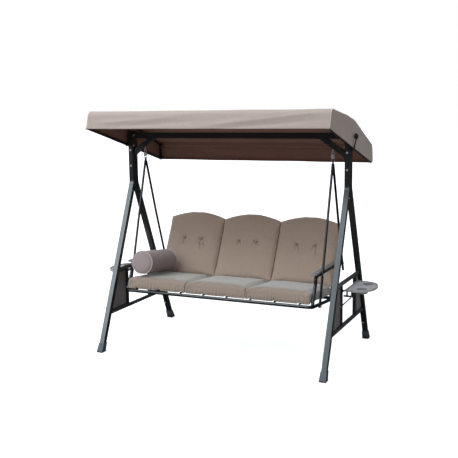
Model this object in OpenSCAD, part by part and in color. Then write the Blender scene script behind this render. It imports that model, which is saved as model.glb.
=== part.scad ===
// Three-seat garden swing with a tilting canopy, fold-down side trays,
// sprung hangers, a tubular seat and loose cushions.
// Origin: on the ground, midway between the two end frames.
// +X to the sitter's left-hand end, +Y to the rear, +Z up. Millimetres.
// Left and right in node names are as seen from the front: right is +X.

/* [End frames] */
// Distance between the left and right leg centres
leg_span = 1810; // [1790:2:1830]
// Outside width of the square leg tube
leg_w = 38; // [34:1:40]
// Wall of the leg tube
leg_wall = 1.5; // [1:0.1:2.5]
// Distance from the middle to each foot, front or rear
foot_reach = 568; // [540:2:600]
// Height of the top of the posts
post_h = 1690; // [1680:1:1700]
// Height of the bend that turns each post into a leg
bend_z = 1281; // [1240:1:1320]
// Centreline radius of the bend of the post
post_bend_r = 90; // [60:5:140]
// Height of the lower side rail
rail_low_z = 280; // [240:5:300]
// Height of the upper side rail
rail_high_z = 600; // [596:1:620]
// Width of the square rails and struts
rail_w = 22; // [18:1:24]
// Height of a foot cap
foot_h = 66; // [50:1:80]

/* [Top beam] */
// Height of the middle of the beam
beam_z = 1660; // [1655:1:1662]
// Depth of the beam from top to bottom
beam_h = 46; // [40:1:50]
// Thickness of the beam from front to rear
beam_t = 38; // [30:1:40]
// Height where a knee brace meets its post
brace_low_z = 1520; // [1515:1:1525]
// Distance from the middle to where a knee brace meets the beam
brace_high_x = 722; // [715:1:730]

/* [Canopy] */
// Half the width of the canopy cover
canopy_half = 947; // [947:1:960]
// Forward-up tilt of the canopy as delivered, in degrees
canopy_lean = 14.9; // [5:0.1:20]
// Height of the tilt pivots
pivot_z = 1580; // [1578:1:1582]
// Distance from the pivots forward to the front of the cover
canopy_front = 588; // [580:1:620]
// Distance from the pivots back to the rear edge of the cover
canopy_rear = 561; // [555:1:600]
// Thickness of the cover fabric
cover_t = 2; // [1.5:0.1:3]
// Diameter of the canopy tubes
canopy_tube = 19; // [16:1:19]

/* [Seat] */
// Distance between the left and right seat side rails
seat_span = 1520; // [1516:1:1524]
// Diameter of the seat frame tube
seat_tube = 25; // [22:1:25]
// Diameter of the hanger rods
rod_d = 18; // [14:1:18]
// Distance from the middle to the hanger rods
rod_x = 788; // [786:1:790]
// Height of the eyes that the seat hangs from
eye_z = 1549.4; // [1548:0.1:1551]
// Height of the front rail of the seat
front_rail_z = 467; // [464:1:470]
// Height of the armrest tube
arm_z = 672; // [668:1:676]
// Diameter of the seat and back slats
slat_d = 14; // [10:1:14]
// Number of seat slats
seat_slat_count = 8; // [6:2:12]

/* [Cushions] */
// Width of one cushion
cushion_w = 493; // [480:1:495]
// Thickness of a seat cushion
seat_pad_t = 90; // [70:1:92]
// Thickness of a back cushion
back_pad_t = 64; // [50:1:66]
// Diameter of the bolster
bolster_d = 180; // [150:1:180]
// Length of the bolster
bolster_l = 400; // [300:1:410]
// Rearward fall of the bolster in degrees
bolster_fall = 7.5; // [7:0.5:9]

/* [Side trays] */
// Height of the top of a tray
tray_z = 565; // [560:1:566]
// Distance from the middle to the outer edge of a tray
tray_out = 1127; // [1090:1:1150]
// Radius of a cup holder
cup_r = 40; // [34:0.5:42]
// Depth of a cup holder
cup_depth = 32; // [20:1:34]

/* [Hidden] */
$fn = 48;

// Colours used by more than one node
black = [0.1, 0.1, 0.1];
knob_black = [0.06, 0.06, 0.07];
leg_grey = [0.15, 0.16, 0.16];
beam_black = [0.11, 0.11, 0.12];
rod_black = [0.12, 0.12, 0.13];
seat_black = [0.1, 0.11, 0.12];
bolt_steel = [0.7, 0.7, 0.72];
hook_steel = [0.75, 0.75, 0.77];
tray_grey = [0.52, 0.52, 0.54];
seat_fabric = [0.56, 0.51, 0.47];
back_fabric = [0.53, 0.47, 0.43];

x_axis = [1, 0, 0];
y_axis = [0, 1, 0];
z_axis = [0, 0, 1];
gap = 0.2;          // clearance around bolts and sliding parts
fit = 0.1;          // clearance between touching faces
bolt_r = 4;
bend_overlap = 0.8; // how far each straight of a bent tube runs into its bends

// ---- shared helpers ----
function unit(v) = v / norm(v);
// Change of direction at c on the way from a to b.
function turn(a, c, b) = acos(unit(c - a) * unit(b - c));
// Direction from a corner's first tangent point to the centre of its arc.
function to_centre(dir_in, dir_out) = unit(dir_out - (dir_in * dir_out) * dir_in);
// Points of an arc of radius r rounding the corner c between a and b.
corner_steps = 8;
function corner(a, c, b, r) =
  let (dir_in = unit(c - a), angle = turn(a, c, b),
       start = c - r * tan(angle / 2) * dir_in,
       inward = to_centre(dir_in, unit(b - c)), centre = start + r * inward)
  [for (i = [0:corner_steps]) let (part = angle * i / corner_steps)
    centre - r * inward * cos(part) + r * dir_in * sin(part)];

module both() {
  children();
  mirror(x_axis) children();
}
module fore_aft() {
  children();
  mirror(y_axis) children();
}
// Places children at origin o with their own axes along x, y and z.
module frame_at(o, x, y, z) {
  multmatrix([[x[0], y[0], z[0], o[0]], [x[1], y[1], z[1], o[1]],
              [x[2], y[2], z[2], o[2]], [0, 0, 0, 1]])
    children();
}
// A straight length of the child section from a to b; side lies across the section.
module bar(a, b, side) {
  dir = unit(b - a);
  x = unit(cross(side, dir));
  frame_at(a, x, cross(dir, x), dir) linear_extrude(norm(b - a)) children();
}
// A bend of centreline radius r at corner c, between directions a to c and c to b.
module bend(a, c, b, r) {
  dir_in = unit(c - a);
  angle = turn(a, c, b);
  inward = to_centre(dir_in, unit(b - c));
  frame_at(c - r * tan(angle / 2) * dir_in + r * inward, -inward, dir_in, cross(-inward, dir_in))
    rotate_extrude(angle = angle) translate([r, 0]) children();
}
// A solid bent bar through points in the plane across side.
// The first child is the section of the straights, the second that of the bends.
// more lengthens both ends.
module solid_run(points, radii, side, more = 0) {
  last = len(points) - 1;
  tangent = [for (i = [0:last]) i == 0 || i == last ? 0
    : radii[i - 1] * tan(turn(points[i - 1], points[i], points[i + 1]) / 2)];
  for (i = [0:last - 1]) {
    dir = unit(points[i + 1] - points[i]);
    from = i == 0 ? -more : tangent[i] - bend_overlap;
    to = i == last - 1 ? more : bend_overlap - tangent[i + 1];
    bar(points[i] + from * dir, points[i + 1] + to * dir, side) children(0);
  }
  for (i = [1:last - 1])
    bend(points[i - 1], points[i], points[i + 1], radii[i - 1]) children(1);
}
// A hollow round bent tube; the bends are a hair fuller than the straights.
module tube_run(points, radii, side, d, wall) {
  fuller = 0.24;
  bore = d - 2 * wall;
  difference() {
    solid_run(points, radii, side) { circle(d = d); circle(d = d + fuller); }
    solid_run(points, radii, side, 5) { circle(d = bore); circle(d = bore + fuller); }
  }
}
module ring(d, wall) difference() {
  circle(d = d);
  circle(d = d - 2 * wall);
}
module box_ring(w, h, wall) difference() {
  square([w, h], center = true);
  square([w - 2 * wall, h - 2 * wall], center = true);
}
// A section in Y and Z, extruded along X.
module extrude_x(x0, x1)
  translate([x0, 0, 0]) rotate([90, 0, 90]) linear_extrude(x1 - x0) children();
module cyl_x(x0, x1, y, z, r) translate([x0, y, z]) rotate([0, 90, 0]) cylinder(r = r, h = x1 - x0);
module cyl_y(y0, y1, x, z, r) translate([x, y0, z]) rotate([-90, 0, 0]) cylinder(r = r, h = y1 - y0);
// A cutter for a bolt hole along X, reaching equally to both sides of x.
module hole_x(x, y, z, reach, r = bolt_r + gap) cyl_x(x - reach, x + reach, y, z, r);
// A bolt along X: round head at the +X end, round nut at the other.
module bolt_x(x_nut, x_head, y, z, r = bolt_r) {
  cyl_x(x_nut - 1.6 * r, x_head, y, z, r);
  cyl_x(x_head, x_head + 1.3 * r, y, z, 1.7 * r);
  difference() {
    cyl_x(x_nut - 1.5 * r, x_nut, y, z, 1.7 * r);
    cyl_x(x_nut - 1.5 * r - 1, x_nut + 1, y, z, r + 0.05);
  }
}

// ---- end frames: posts and legs ----
leg_x = leg_span / 2;
post_y = leg_w / 2 + gap;             // post tube centre, front or rear
post_inner = leg_x - leg_w / 2;       // faces of the posts
post_outer = leg_x + leg_w / 2;
leg_lean = atan((foot_reach - post_y) / bend_z);
leg_dir = [0, -sin(leg_lean), -cos(leg_lean)];    // down a front leg
leg_normal = [0, cos(leg_lean), -sin(leg_lean)];  // off the rear face of a front leg
seam = 24;                            // from the bend to the top of the lower leg
spigot_w = leg_w - 2 * leg_wall - 2 * gap;        // slides inside the leg tube
post_bolt_heights = [1540, 1415];
joint_bolt_r = 3;
pivot_y = -post_y;

// Points on the axis of the +X front leg, from the bend down or from the ground up.
function leg_down(distance) = [leg_x, -post_y, bend_z] + distance * leg_dir;
function leg_up(distance) = [leg_x, -foot_reach, 0] - distance * leg_dir;
function leg_y(z) = -foot_reach + z * tan(leg_lean);

post_line = [[leg_x, -post_y, post_h], leg_down(0), leg_down(seam)];
joint = leg_down(seam + 50);          // bolt through the leg joint
module joint_hole() hole_x(leg_x, joint[1], joint[2], leg_w, joint_bolt_r + gap);

module upper_legs() color(leg_grey) both() fore_aft() difference() {
  bore = leg_w - 2 * leg_wall;
  collar_w = leg_w - leg_wall;
  union() {
    difference() {
      solid_run(post_line, [post_bend_r], x_axis) {
        square(leg_w, center = true);
        square(leg_w + 0.2, center = true);
      }
      solid_run(post_line, [post_bend_r], x_axis, 5) {
        square(bore, center = true);
        square(bore + 0.2, center = true);
      }
    }
    // Collar that joins the spigot to the tube
    bar(leg_down(seam - 3), leg_down(seam - 0.5), x_axis)
      box_ring(collar_w, collar_w, 1.5 * leg_wall + gap);
    bar(leg_down(seam - 2), leg_down(seam + 84), x_axis) box_ring(spigot_w, spigot_w, leg_wall);
  }
  for (z = post_bolt_heights) cyl_y(-2 * leg_w, 2 * leg_w, leg_x, z, bolt_r + gap);
  hole_x(leg_x, pivot_y, pivot_z, leg_w);
  hole_x(leg_x, -post_y, beam_z, leg_w);
  joint_hole();
}
module lower_legs() color(leg_grey) both() fore_aft() difference() {
  bar(leg_down(seam + 0.3), leg_up(14), x_axis) box_ring(leg_w, leg_w, leg_wall);
  joint_hole();
}
// Mirrored about the leg, so the heads are on the inner faces.
module leg_joint_bolts() color(bolt_steel) both() fore_aft()
  mirror(x_axis) translate([-2 * leg_x, 0, 0])
    bolt_x(post_inner - fit, post_outer + fit, joint[1], joint[2], joint_bolt_r);
module post_caps() color(rod_black) both() fore_aft() {
  translate([post_inner, -post_y - leg_w / 2, post_h + fit]) cube([leg_w, leg_w, 4]);
  translate([leg_x - spigot_w / 2, -post_y - spigot_w / 2, post_h - 14])
    cube([spigot_w, spigot_w, 15]);
}
module foot_caps() color([0.38, 0.41, 0.43]) both() fore_aft() difference() {
  top_y = leg_y(foot_h);
  sole_h = 9;
  intersection() {
    extrude_x(leg_x - 40, leg_x + 40)
      polygon([[-foot_reach - 27, 0], [-foot_reach + 27, 0], [-foot_reach + 28.5, sole_h],
               [top_y + 24, foot_h], [top_y - 24, foot_h], [-foot_reach - 27, sole_h]]);
    rotate([90, 0, 0]) linear_extrude(foot_reach + 60)
      polygon([[leg_x - 25, 0], [leg_x + 25, 0], [leg_x + 25, sole_h],
               [leg_x + 22.5, foot_h], [leg_x - 22.5, foot_h], [leg_x - 25, sole_h]]);
  }
  bar(leg_up(13.5), leg_up(120), x_axis) square(leg_w + 2 * gap, center = true);
}
// Bolts that clamp each front post to the rear one: head in front, nut behind.
module post_bolts() color([0.78, 0.78, 0.8]) both() for (z = post_bolt_heights) {
  head_y = -leg_w - 2 * gap;
  cyl_y(-leg_w - gap, leg_w + gap, leg_x, z, bolt_r);
  cyl_y(head_y - 4, head_y, leg_x, z, 8);
  cyl_y(head_y - 0.01, -leg_w - gap, leg_x, z, bolt_r);
  cyl_y(leg_w + gap, leg_w + 10, leg_x, z, bolt_r);
  difference() {
    cyl_y(leg_w + 2 * gap + fit, leg_w + 7, leg_x, z, 7);
    cyl_y(leg_w, leg_w + 12, leg_x, z, bolt_r + 0.05);
  }
}

// ---- top beam, knee braces and canopy pivots ----
small_head_r = 7;                     // bolt heads and nuts at the beam, pivots and eyes
end_plate_t = 4;
end_plate_h = 56;
beam_underside = beam_z - beam_h / 2;
brace_w = 38;
brace_slope = (beam_underside - brace_low_z) / (post_inner - brace_high_x);
brace_nut_angle = 35.7;               // brace angle that seats the eye nuts, in degrees
function brace_mid(x) = brace_low_z + (post_inner - x) * brace_slope;

// Overlong at both ends, for trimming.
module brace_line() both() {
  low_x = post_inner + 20;
  high_x = brace_high_x - 30;
  bar([low_x, 0, brace_mid(low_x)], [high_x, 0, brace_mid(high_x)], y_axis) children();
}
module top_beam() color(beam_black) {
  end_x = post_inner - end_plate_t - 0.4;
  bar([-end_x, 0, beam_z], [end_x, 0, beam_z], y_axis) box_ring(beam_h, beam_t, 1.6);
}
module beam_end_plates() color(beam_black) both() difference() {
  translate([post_inner - end_plate_t - gap, -leg_w, beam_z - end_plate_h / 2])
    cube([end_plate_t, 2 * leg_w, end_plate_h]);
  for (s = [-1, 1]) cyl_x(post_inner - 10, post_inner + 5, s * post_y, beam_z, bolt_r + gap);
}
module beam_bolts() color(bolt_steel) both() for (s = [-1, 1]) difference() {
  union() {
    cyl_x(post_inner - 5.5, post_outer + fit, s * post_y, beam_z, bolt_r);
    cyl_x(post_outer + fit, post_outer + 0.9, s * post_y, beam_z, small_head_r);
    cyl_x(post_inner - 9.5, post_inner - 4.3, s * post_y, beam_z, small_head_r);
  }
  // Room for the end of the beam
  translate([post_inner - 12, -beam_t / 2 - gap, beam_underside - gap])
    cube([7.6, beam_t + 2 * gap, beam_h + 2 * gap]);
}
module knee_braces() color([0.13, 0.13, 0.13]) difference() {
  brace_line() box_ring(brace_w, brace_w, 1.5);
  both() translate([post_inner - fit, -50, 1400]) cube([80, 100, 300]);
  translate([-1000, -50, beam_underside - fit]) cube([2000, 100, 100]);
  both() translate([rod_x, 0, 1550]) cylinder(r = bolt_r + gap, h = 80);
}

eye_r = 10;                           // centreline radius of the eye
eye_wire = 3;                         // radius of its wire
eye_bolt_top = 1646 - beam_h / 2;
module eye_bolts() color(hook_steel) both() translate([rod_x, 0, 0]) {
  translate([0, 0, eye_z]) rotate([0, 90, 0])
    rotate_extrude() translate([eye_r, 0]) circle(r = eye_wire);
  translate([0, 0, eye_z + eye_r]) cylinder(r = bolt_r, h = eye_bolt_top - eye_z - eye_r);
}
module eye_nuts() color(hook_steel) both() translate([rod_x, 0, 0]) difference() {
  top = brace_mid(rod_x) + brace_w / 2 / cos(brace_nut_angle) + 9;
  translate([0, 0, top - 7]) cylinder(r = small_head_r, h = 6.5);
  translate([0, 0, top - 12]) cylinder(r = bolt_r + 0.05, h = 20);
  translate([-rod_x, 0, 0]) brace_line() square(brace_w + 0.3, center = true);
}
module canopy_pivot_bolts() color(bolt_steel) both() {
  cyl_x(post_inner - gap, canopy_half + 6, pivot_y, pivot_z, bolt_r);
  cyl_x(post_inner - 5.5, post_inner - fit, pivot_y, pivot_z, small_head_r);
}
module pivot_washers() color(black) both() difference() {
  cyl_x(post_outer + fit, post_outer + 1.4, pivot_y, pivot_z, 9);
  cyl_x(post_outer - 1, post_outer + 3, pivot_y, pivot_z, bolt_r + 0.1);
}

// ---- end frames: strips, rails, struts and mesh ----
rail_half = rail_w / 2;
rail_wall = 1.2;
strut_front_y = -161;                 // strut centres
strut_rear_y = 196;
strip_t = 8;
strip_w = 20;
strip_bolt_r = 3;
// The strip lines are set out on the front leg, then mirrored to the rear one.
strip_low = leg_up(165 / cos(leg_lean));
strip_high = leg_up((rail_high_z - rail_half - 4) / cos(leg_lean));
module strip_frame(point) frame_at(point, x_axis, leg_dir, leg_normal) children();

// Flat strips on the front faces of the rear legs, with a rounded lower end.
// A grown strip is a cutter and has no bolt hole.
module strip_line(grow) both() mirror(y_axis)
  translate((leg_w / 2 + strip_t / 2 + fit) * leg_normal) difference() {
    union() {
      bar(strip_low, strip_high, x_axis)
        square([strip_t + 2 * grow, strip_w + 2 * grow], center = true);
      strip_frame(strip_low) translate([0, 0, -strip_t / 2 - grow])
        cylinder(r = strip_w / 2 + grow, h = strip_t + 2 * grow);
    }
    if (grow == 0)
      strip_frame(strip_low) translate([0, 0, -20]) cylinder(r = strip_bolt_r + gap, h = 40);
  }
module leg_strips() color([0.09, 0.09, 0.09]) strip_line(0);
module strip_bolts() color(bolt_steel) both() mirror(y_axis)
  strip_frame(strip_low + (leg_w / 2 + 0.15) * leg_normal) {
    cylinder(r = strip_bolt_r, h = strip_t + 0.2);
    translate([0, 0, strip_t + 0.1]) cylinder(r = 6, h = 3.5);
  }
module side_rails() color([0.35, 0.36, 0.37]) difference() {
  both() for (z = [rail_high_z, rail_low_z])
    bar([leg_x, leg_y(z), z], [leg_x, -leg_y(z), z], x_axis) box_ring(rail_w, rail_w, rail_wall);
  both() fore_aft() bar(leg_down(0), leg_down(bend_z / cos(leg_lean)), x_axis)
    square(leg_w + 2 * fit, center = true);
  strip_line(fit);
}

stay_z = 434;                         // height of the stay pins
pin_r = 3;                            // stay and tray hinge pins
pin_bore_r = pin_r + 0.06;
module side_struts() color([0.2, 0.21, 0.21]) both() difference() {
  for (y = [strut_front_y, strut_rear_y])
    bar([leg_x, y, rail_low_z + rail_half + fit], [leg_x, y, rail_high_z - rail_half - fit], x_axis)
      box_ring(rail_w, rail_w, rail_wall);
  cyl_y(strut_front_y - 20, strut_front_y + 20, leg_x, stay_z, pin_r + gap);
}
// Mesh between the front leg and front strut, and the rear strut and rear leg.
module side_mesh_panels() color([0.34, 0.33, 0.33, 0.8]) both()
  extrude_x(leg_x - 0.8, leg_x + 0.8) difference() {
    low = rail_low_z + rail_half + 1;
    high = rail_high_z - rail_half - 1;
    leg_edge = (leg_w / 2) / cos(leg_lean) + 1.5;
    strip_edge = leg_edge + strip_t / cos(leg_lean) + 1;
    front_y = strut_front_y - rail_half - 1;
    rear_y = strut_rear_y + rail_half + 1;
    union() {
      polygon([[leg_y(low) + leg_edge, low], [front_y, low],
               [front_y, high], [leg_y(high) + leg_edge, high]]);
      polygon([[-leg_y(low) - strip_edge, low], [rear_y, low],
               [rear_y, high], [-leg_y(high) - strip_edge, high]]);
    }
    // Notch around the head of the stay pin
    translate([front_y - 3, stay_z - 7]) square([5, 14]);
  }

// ---- side trays ----
hinge_x = leg_x + 22;                 // tray hinge line
hinge_z = tray_z - 12;
bracket_starts = [strut_front_y - 3, strut_rear_y - 10];  // front face of each bracket
bracket_t = 5;
module tray_hinge_brackets() color([0.2, 0.2, 0.21]) both() difference() {
  face_x = leg_x + rail_half + fit;
  for (y = bracket_starts) {
    translate([face_x, y, hinge_z - 8]) cube([hinge_x - leg_x - rail_half, bracket_t, 16]);
    cyl_y(y, y + bracket_t, hinge_x, hinge_z, 6);
    translate([face_x, y - 4, hinge_z - 12]) cube([2.5, 12, 24]);
  }
  for (y = bracket_starts) cyl_y(y - 10, y + 12, hinge_x, hinge_z, pin_r + 0.1);
}
lug_starts = [strut_front_y + 10, 150];  // front face of each tray hinge lug
lug_t = 8;
module tray_hinge_pins() color(bolt_steel) both() {
  head_r = 4.5;
  cyl_y(strut_front_y - 3.5, strut_front_y + 20, hinge_x, hinge_z, pin_r);
  cyl_y(strut_front_y - 5.5, strut_front_y - 3.2, hinge_x, hinge_z, head_r);
  cyl_y(148, strut_rear_y - 4.5, hinge_x, hinge_z, pin_r);
  cyl_y(strut_rear_y - 4.8, strut_rear_y - 2.5, hinge_x, hinge_z, head_r);
}
module stay_pins() color(bolt_steel) both() {
  head_r = 5.5;
  front_y = strut_front_y - rail_half;
  rear_y = strut_front_y + rail_half;
  cyl_y(front_y - gap, rear_y + 5.2, leg_x, stay_z, pin_r);
  cyl_y(front_y - 3, front_y - fit, leg_x, stay_z, head_r);
  cyl_y(rear_y + 5, rear_y + 7.5, leg_x, stay_z, head_r);
}

tray_in = hinge_x + 9;                // inner edge of the tray
tray_mid = 2.5;                       // middle of the tray in Y
tray_half = 164.5;                    // half its length in Y
tray_t = 18;
tray_curve_in = 26;                   // from the inner edge to where the outer curve starts
cup_wall = 2;
cup_centres = [[1040, -88], [1040, 93]];  // X, Y

// The tray outline in X and Y, moved inwards by e: a superellipse half on a chamfered edge.
function tray_edge(e) = [for (i = [0:36]) let (a = -90 + 5 * i)
  [tray_in + tray_curve_in + (tray_out - tray_in - tray_curve_in - e) * pow(cos(a), 0.8),
   tray_mid + (tray_half - e) * sign(sin(a)) * pow(abs(sin(a)), 0.8)]];
module tray_outline(e) {
  corner_y = tray_half - e - 8;
  polygon(concat([[tray_in + e, tray_mid + corner_y], [tray_in + e, tray_mid - corner_y]],
    tray_edge(e)));
}
module tray() difference() {
  union() {
    translate([0, 0, tray_z - tray_t]) linear_extrude(tray_t) tray_outline(0);
    for (c = cup_centres)
      translate([c[0], c[1], tray_z - cup_depth - cup_wall])
        cylinder(r = cup_r + cup_wall, h = cup_depth);
    for (y = lug_starts) {
      cyl_y(y, y + lug_t, hinge_x, hinge_z, 6.5);
      translate([hinge_x, y, hinge_z - 6]) cube([tray_in - hinge_x + 6, lug_t, 12]);
    }
  }
  // Recess in the top
  translate([0, 0, tray_z - 6]) linear_extrude(10) tray_outline(7);
  // Hollow underside, leaving the cups and hinge lugs
  translate([0, 0, tray_z - 30]) linear_extrude(20.5) difference() {
    tray_outline(3);
    for (c = cup_centres) translate(c) circle(r = cup_r + cup_wall);
    for (y = lug_starts) translate([hinge_x, y]) square([20, lug_t]);
  }
  for (c = cup_centres)
    translate([c[0], c[1], tray_z - cup_depth]) cylinder(r = cup_r, h = cup_depth + 10);
  cyl_y(-200, 200, hinge_x, hinge_z, pin_bore_r);
}
// A flat U under the tray; its lower bar runs on inwards past the inner upright.
module tray_arm() difference() {
  top = tray_z - tray_t - fit;
  bar_top = 518;
  bar_low = 505;
  upright_w = 12;
  outer_x = 986;
  translate([0, strut_front_y + rail_half + 9.5, 0]) rotate([90, 0, 0]) linear_extrude(4)
    polygon([[hinge_x + upright_w, top], [hinge_x + upright_w, bar_top], [hinge_x - 8, bar_top],
             [hinge_x - 8, bar_low], [outer_x, bar_low], [outer_x, top],
             [outer_x - upright_w, top], [outer_x - upright_w, bar_top],
             [hinge_x + 2 * upright_w, bar_top], [hinge_x + 2 * upright_w, top]]);
  cyl_y(-160, -130, outer_x - 8, (bar_low + bar_top) / 2, 2.5);
}
// A slotted flat stay, rising outwards at 45 degrees from its pin.
stay_l = 125;
module tray_stay() translate([leg_x, strut_front_y + rail_half + 0.5, stay_z])
  rotate([0, -45, 0]) difference() {
    stay_w = 9;
    stay_t = 4;
    slot_w = 3.2;
    union() {
      translate([0, 0, -stay_w / 2]) cube([stay_l, stay_t, stay_w]);
      cyl_y(0, stay_t, 0, 0, 7);
      cyl_y(0, stay_t, stay_l, 0, stay_w / 2);
    }
    cyl_y(-1, 6, 0, 0, pin_bore_r);
    translate([stay_l - 26, -1, -slot_w / 2]) cube([20, 6, slot_w]);
  }
module right_tray() color(tray_grey) tray();
module left_tray() color(tray_grey) mirror(x_axis) tray();
module right_tray_arm() color(black) tray_arm();
module left_tray_arm() color(black) mirror(x_axis) tray_arm();
module right_tray_stay() color(black) tray_stay();
module left_tray_stay() color(black) mirror(x_axis) tray_stay();

// ---- hangers ----
hook_r = 9;                           // upper ring of the spring
loop_r = 9;                           // lower ring of the spring
hook_wire = 2;                        // wire radius of both rings
hook_top = eye_z - eye_r + eye_wire + hook_wire + gap;
spring_top = hook_top - 2 * hook_r - 1;
spring_bottom = 1495.2;
lug_hole_z = 1473;
apex_z = 1477;                        // where the front and rear rod lines meet
front_foot = [-295, 458];             // front rod bolt, Y and Z
rear_knee = [145, 1021];              // bend of the rear rod, Y and Z
rear_rod_end = 614;                   // height of its lower end
arm_bolt_y = 266.5;                   // where the back, armrest and rear rod are bolted
rod_wall = 1.2;
rear_rod_slope = (arm_bolt_y - rear_knee[0]) / (rear_knee[1] - arm_z);
function rod_front(z) = front_foot[0] * (apex_z - z) / (apex_z - front_foot[1]);
function rod_rear(z) = rear_knee[0] + rear_rod_slope * (rear_knee[1] - z);

// A helix about Z with a round wire, as a closed polyhedron.
module coil(r, wire, z0, z1, turns) {
  rings = 12 * turns;
  sides = 6;
  points = [for (i = [0:rings]) for (j = [0:sides - 1])
    let (a = 30 * i, q = 360 * j / sides, radius = r + wire * cos(q))
      [radius * cos(a), radius * sin(a), z0 + (z1 - z0) * i / rings + wire * sin(q)]];
  faces = concat(
    [[for (j = [sides - 1:-1:0]) j]],
    [[for (j = [0:sides - 1]) rings * sides + j]],
    [for (i = [0:rings - 1]) for (j = [0:sides - 1]) let (k = (j + 1) % sides)
      [(i + 1) * sides + k, i * sides + k, i * sides + j]],
    [for (i = [0:rings - 1]) for (j = [0:sides - 1]) let (k = (j + 1) % sides)
      [(i + 1) * sides + j, (i + 1) * sides + k, i * sides + j]]);
  polyhedron(points, faces);
}
module wire_ring(z, r)
  translate([0, 0, z]) rotate([90, 0, 0]) rotate_extrude() translate([r, 0]) circle(r = hook_wire);
module hanger_springs() color(hook_steel) both() translate([rod_x, 0, 0]) {
  wire_ring(hook_top - hook_r, hook_r);
  coil(r = 9.5, wire = 1.7, z0 = spring_bottom + 2, z1 = spring_top - 4.2, turns = 6);
  wire_ring(lug_hole_z + 1.8 + loop_r, loop_r);
}
lug_r = 13;
module hanger_lugs() color(black) both() difference() {
  union() {
    translate([rod_x - 2.5, -lug_r, 1432]) cube([5, 2 * lug_r, lug_hole_z - 1432]);
    cyl_x(rod_x - 2.5, rod_x + 2.5, 0, lug_hole_z, lug_r);
  }
  hole_x(rod_x, 0, lug_hole_z, 5, 4.5);
}
// Trims the head of a rod flat and slots it for the lug.
module rod_head_cut() {
  translate([rod_x - 20, -60, 1458]) cube([40, 120, 100]);
  translate([rod_x - 2.6, -lug_r - 0.2, 1431]) cube([5.2, 2 * lug_r + 0.4, 100]);
}
module front_rods() color(rod_black) both() difference() {
  bar([rod_x, 0, apex_z], [rod_x, rod_front(446), 446], x_axis) ring(rod_d, rod_wall);
  translate([rod_x - 20, -0.1, 1300]) cube([40, 60, 300]);
  rod_head_cut();
  hole_x(rod_x, front_foot[0], front_foot[1], 20);
  hole_x(rod_x, rod_front(arm_z), arm_z, 20);
}
module rear_rods() color(rod_black) both() difference() {
  tube_run([[rod_x, 0, apex_z], [rod_x, rear_knee[0], rear_knee[1]],
            [rod_x, rod_rear(rear_rod_end), rear_rod_end]], [200], x_axis, rod_d, rod_wall);
  translate([rod_x - 20, -60, 1300]) cube([40, 60.1, 300]);
  rod_head_cut();
  hole_x(rod_x, arm_bolt_y, arm_z, 20);
}

// ---- seat ----
seat_x = seat_span / 2;
upright_x = seat_x - seat_tube - 0.5; // back frame uprights
seat_wall = 1.3;
slat_wall = 1.2;
front_rail_y = -389;
rail_end_y = 150;                     // rear end of the side rails
side_drop = 0.095;                    // fall of the side rails per unit of length
back_rake = 0.525;                    // rearward slope of the back per unit of height
seat_dir = unit([0, 1, -side_drop]);  // rearward along the seat
seat_normal = unit([0, side_drop, 1]);
back_up = unit([0, back_rake, 1]);
back_normal = unit([0, -1, back_rake]);
function side_z(y) = front_rail_z - side_drop * (y - front_rail_y);
function back_y(z) = arm_bolt_y + back_rake * (z - arm_z);
function seat_point(x, y) = [x, y, side_z(y)];
function back_point(x, z) = [x, back_y(z), z];

rear_rail_y = back_y(417.4);
back_low_z = 424;
back_top_z = 915;
front_bolt = [front_foot[0], side_z(front_foot[0])];  // bolt places, Y and Z
arm_bolt = [rod_front(arm_z), arm_z];
back_bolt = [arm_bolt_y, arm_z];

seat_line = [seat_point(-seat_x, rail_end_y), [-seat_x, front_rail_y, front_rail_z],
  [seat_x, front_rail_y, front_rail_z], seat_point(seat_x, rail_end_y)];
module seat_frame() color(seat_black) difference() {
  tube_run(seat_line, [30, 30], seat_normal, seat_tube, seat_wall);
  both() hole_x(seat_x, front_bolt[0], front_bolt[1], 30);
}
module rear_rail_line()
  bar(seat_point(-seat_x, rear_rail_y), seat_point(seat_x, rear_rail_y), z_axis) children();
module rear_rail_cut() rear_rail_line() circle(d = seat_tube + 0.2);
module rear_rail() color(seat_black) difference() {
  rear_rail_line() ring(seat_tube, seat_wall);
  both() bar(seat_point(seat_x, 0), seat_point(seat_x, rail_end_y + 20), x_axis)
    circle(d = seat_tube + 0.2);
}
slat_pitch = (seat_span - 180) / (seat_slat_count - 1);
module seat_slats() color(seat_black) for (i = [0:seat_slat_count - 1]) {
  x = (i - (seat_slat_count - 1) / 2) * slat_pitch;
  rise = ((seat_tube + slat_d) / 2 + 0.15) * seat_normal;
  bar(seat_point(x, -396) + rise, seat_point(x, 148) + rise, x_axis) ring(slat_d, slat_wall);
}
module back_frame() color(seat_black) difference() {
  tube_run([back_point(-upright_x, back_low_z), back_point(-upright_x, back_top_z),
            back_point(upright_x, back_top_z), back_point(upright_x, back_low_z)],
    [60, 60], back_normal, seat_tube, seat_wall);
  rear_rail_cut();
  both() hole_x(upright_x, arm_bolt_y, arm_z, 30);
}
back_slat_pitch = 190;
module back_slats() color(seat_black) difference() {
  for (i = [-3:3])
    let (x = i * back_slat_pitch)
      bar(back_point(x, back_low_z), back_point(x, back_top_z), x_axis) ring(slat_d, slat_wall);
  rear_rail_cut();
  bar(back_point(-upright_x, back_top_z), back_point(upright_x, back_top_z), z_axis)
    circle(d = seat_tube + 0.2);
}
arm_end_y = 287;                      // rear end of the armrest tube
module armrest_tubes() color([0.12, 0.13, 0.14]) both() difference() {
  tube_run([[seat_x, arm_end_y, arm_z], [seat_x, -303, arm_z],
            [seat_x, -313, 612], [seat_x, -376, 477]], [32, 80], x_axis, seat_tube, seat_wall);
  solid_run(seat_line, [30, 30], seat_normal) {
    circle(d = seat_tube + 0.3);
    circle(d = seat_tube + 0.5);
  }
  for (bolt = [back_bolt, arm_bolt]) hole_x(seat_x, bolt[0], bolt[1], 30);
}
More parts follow.
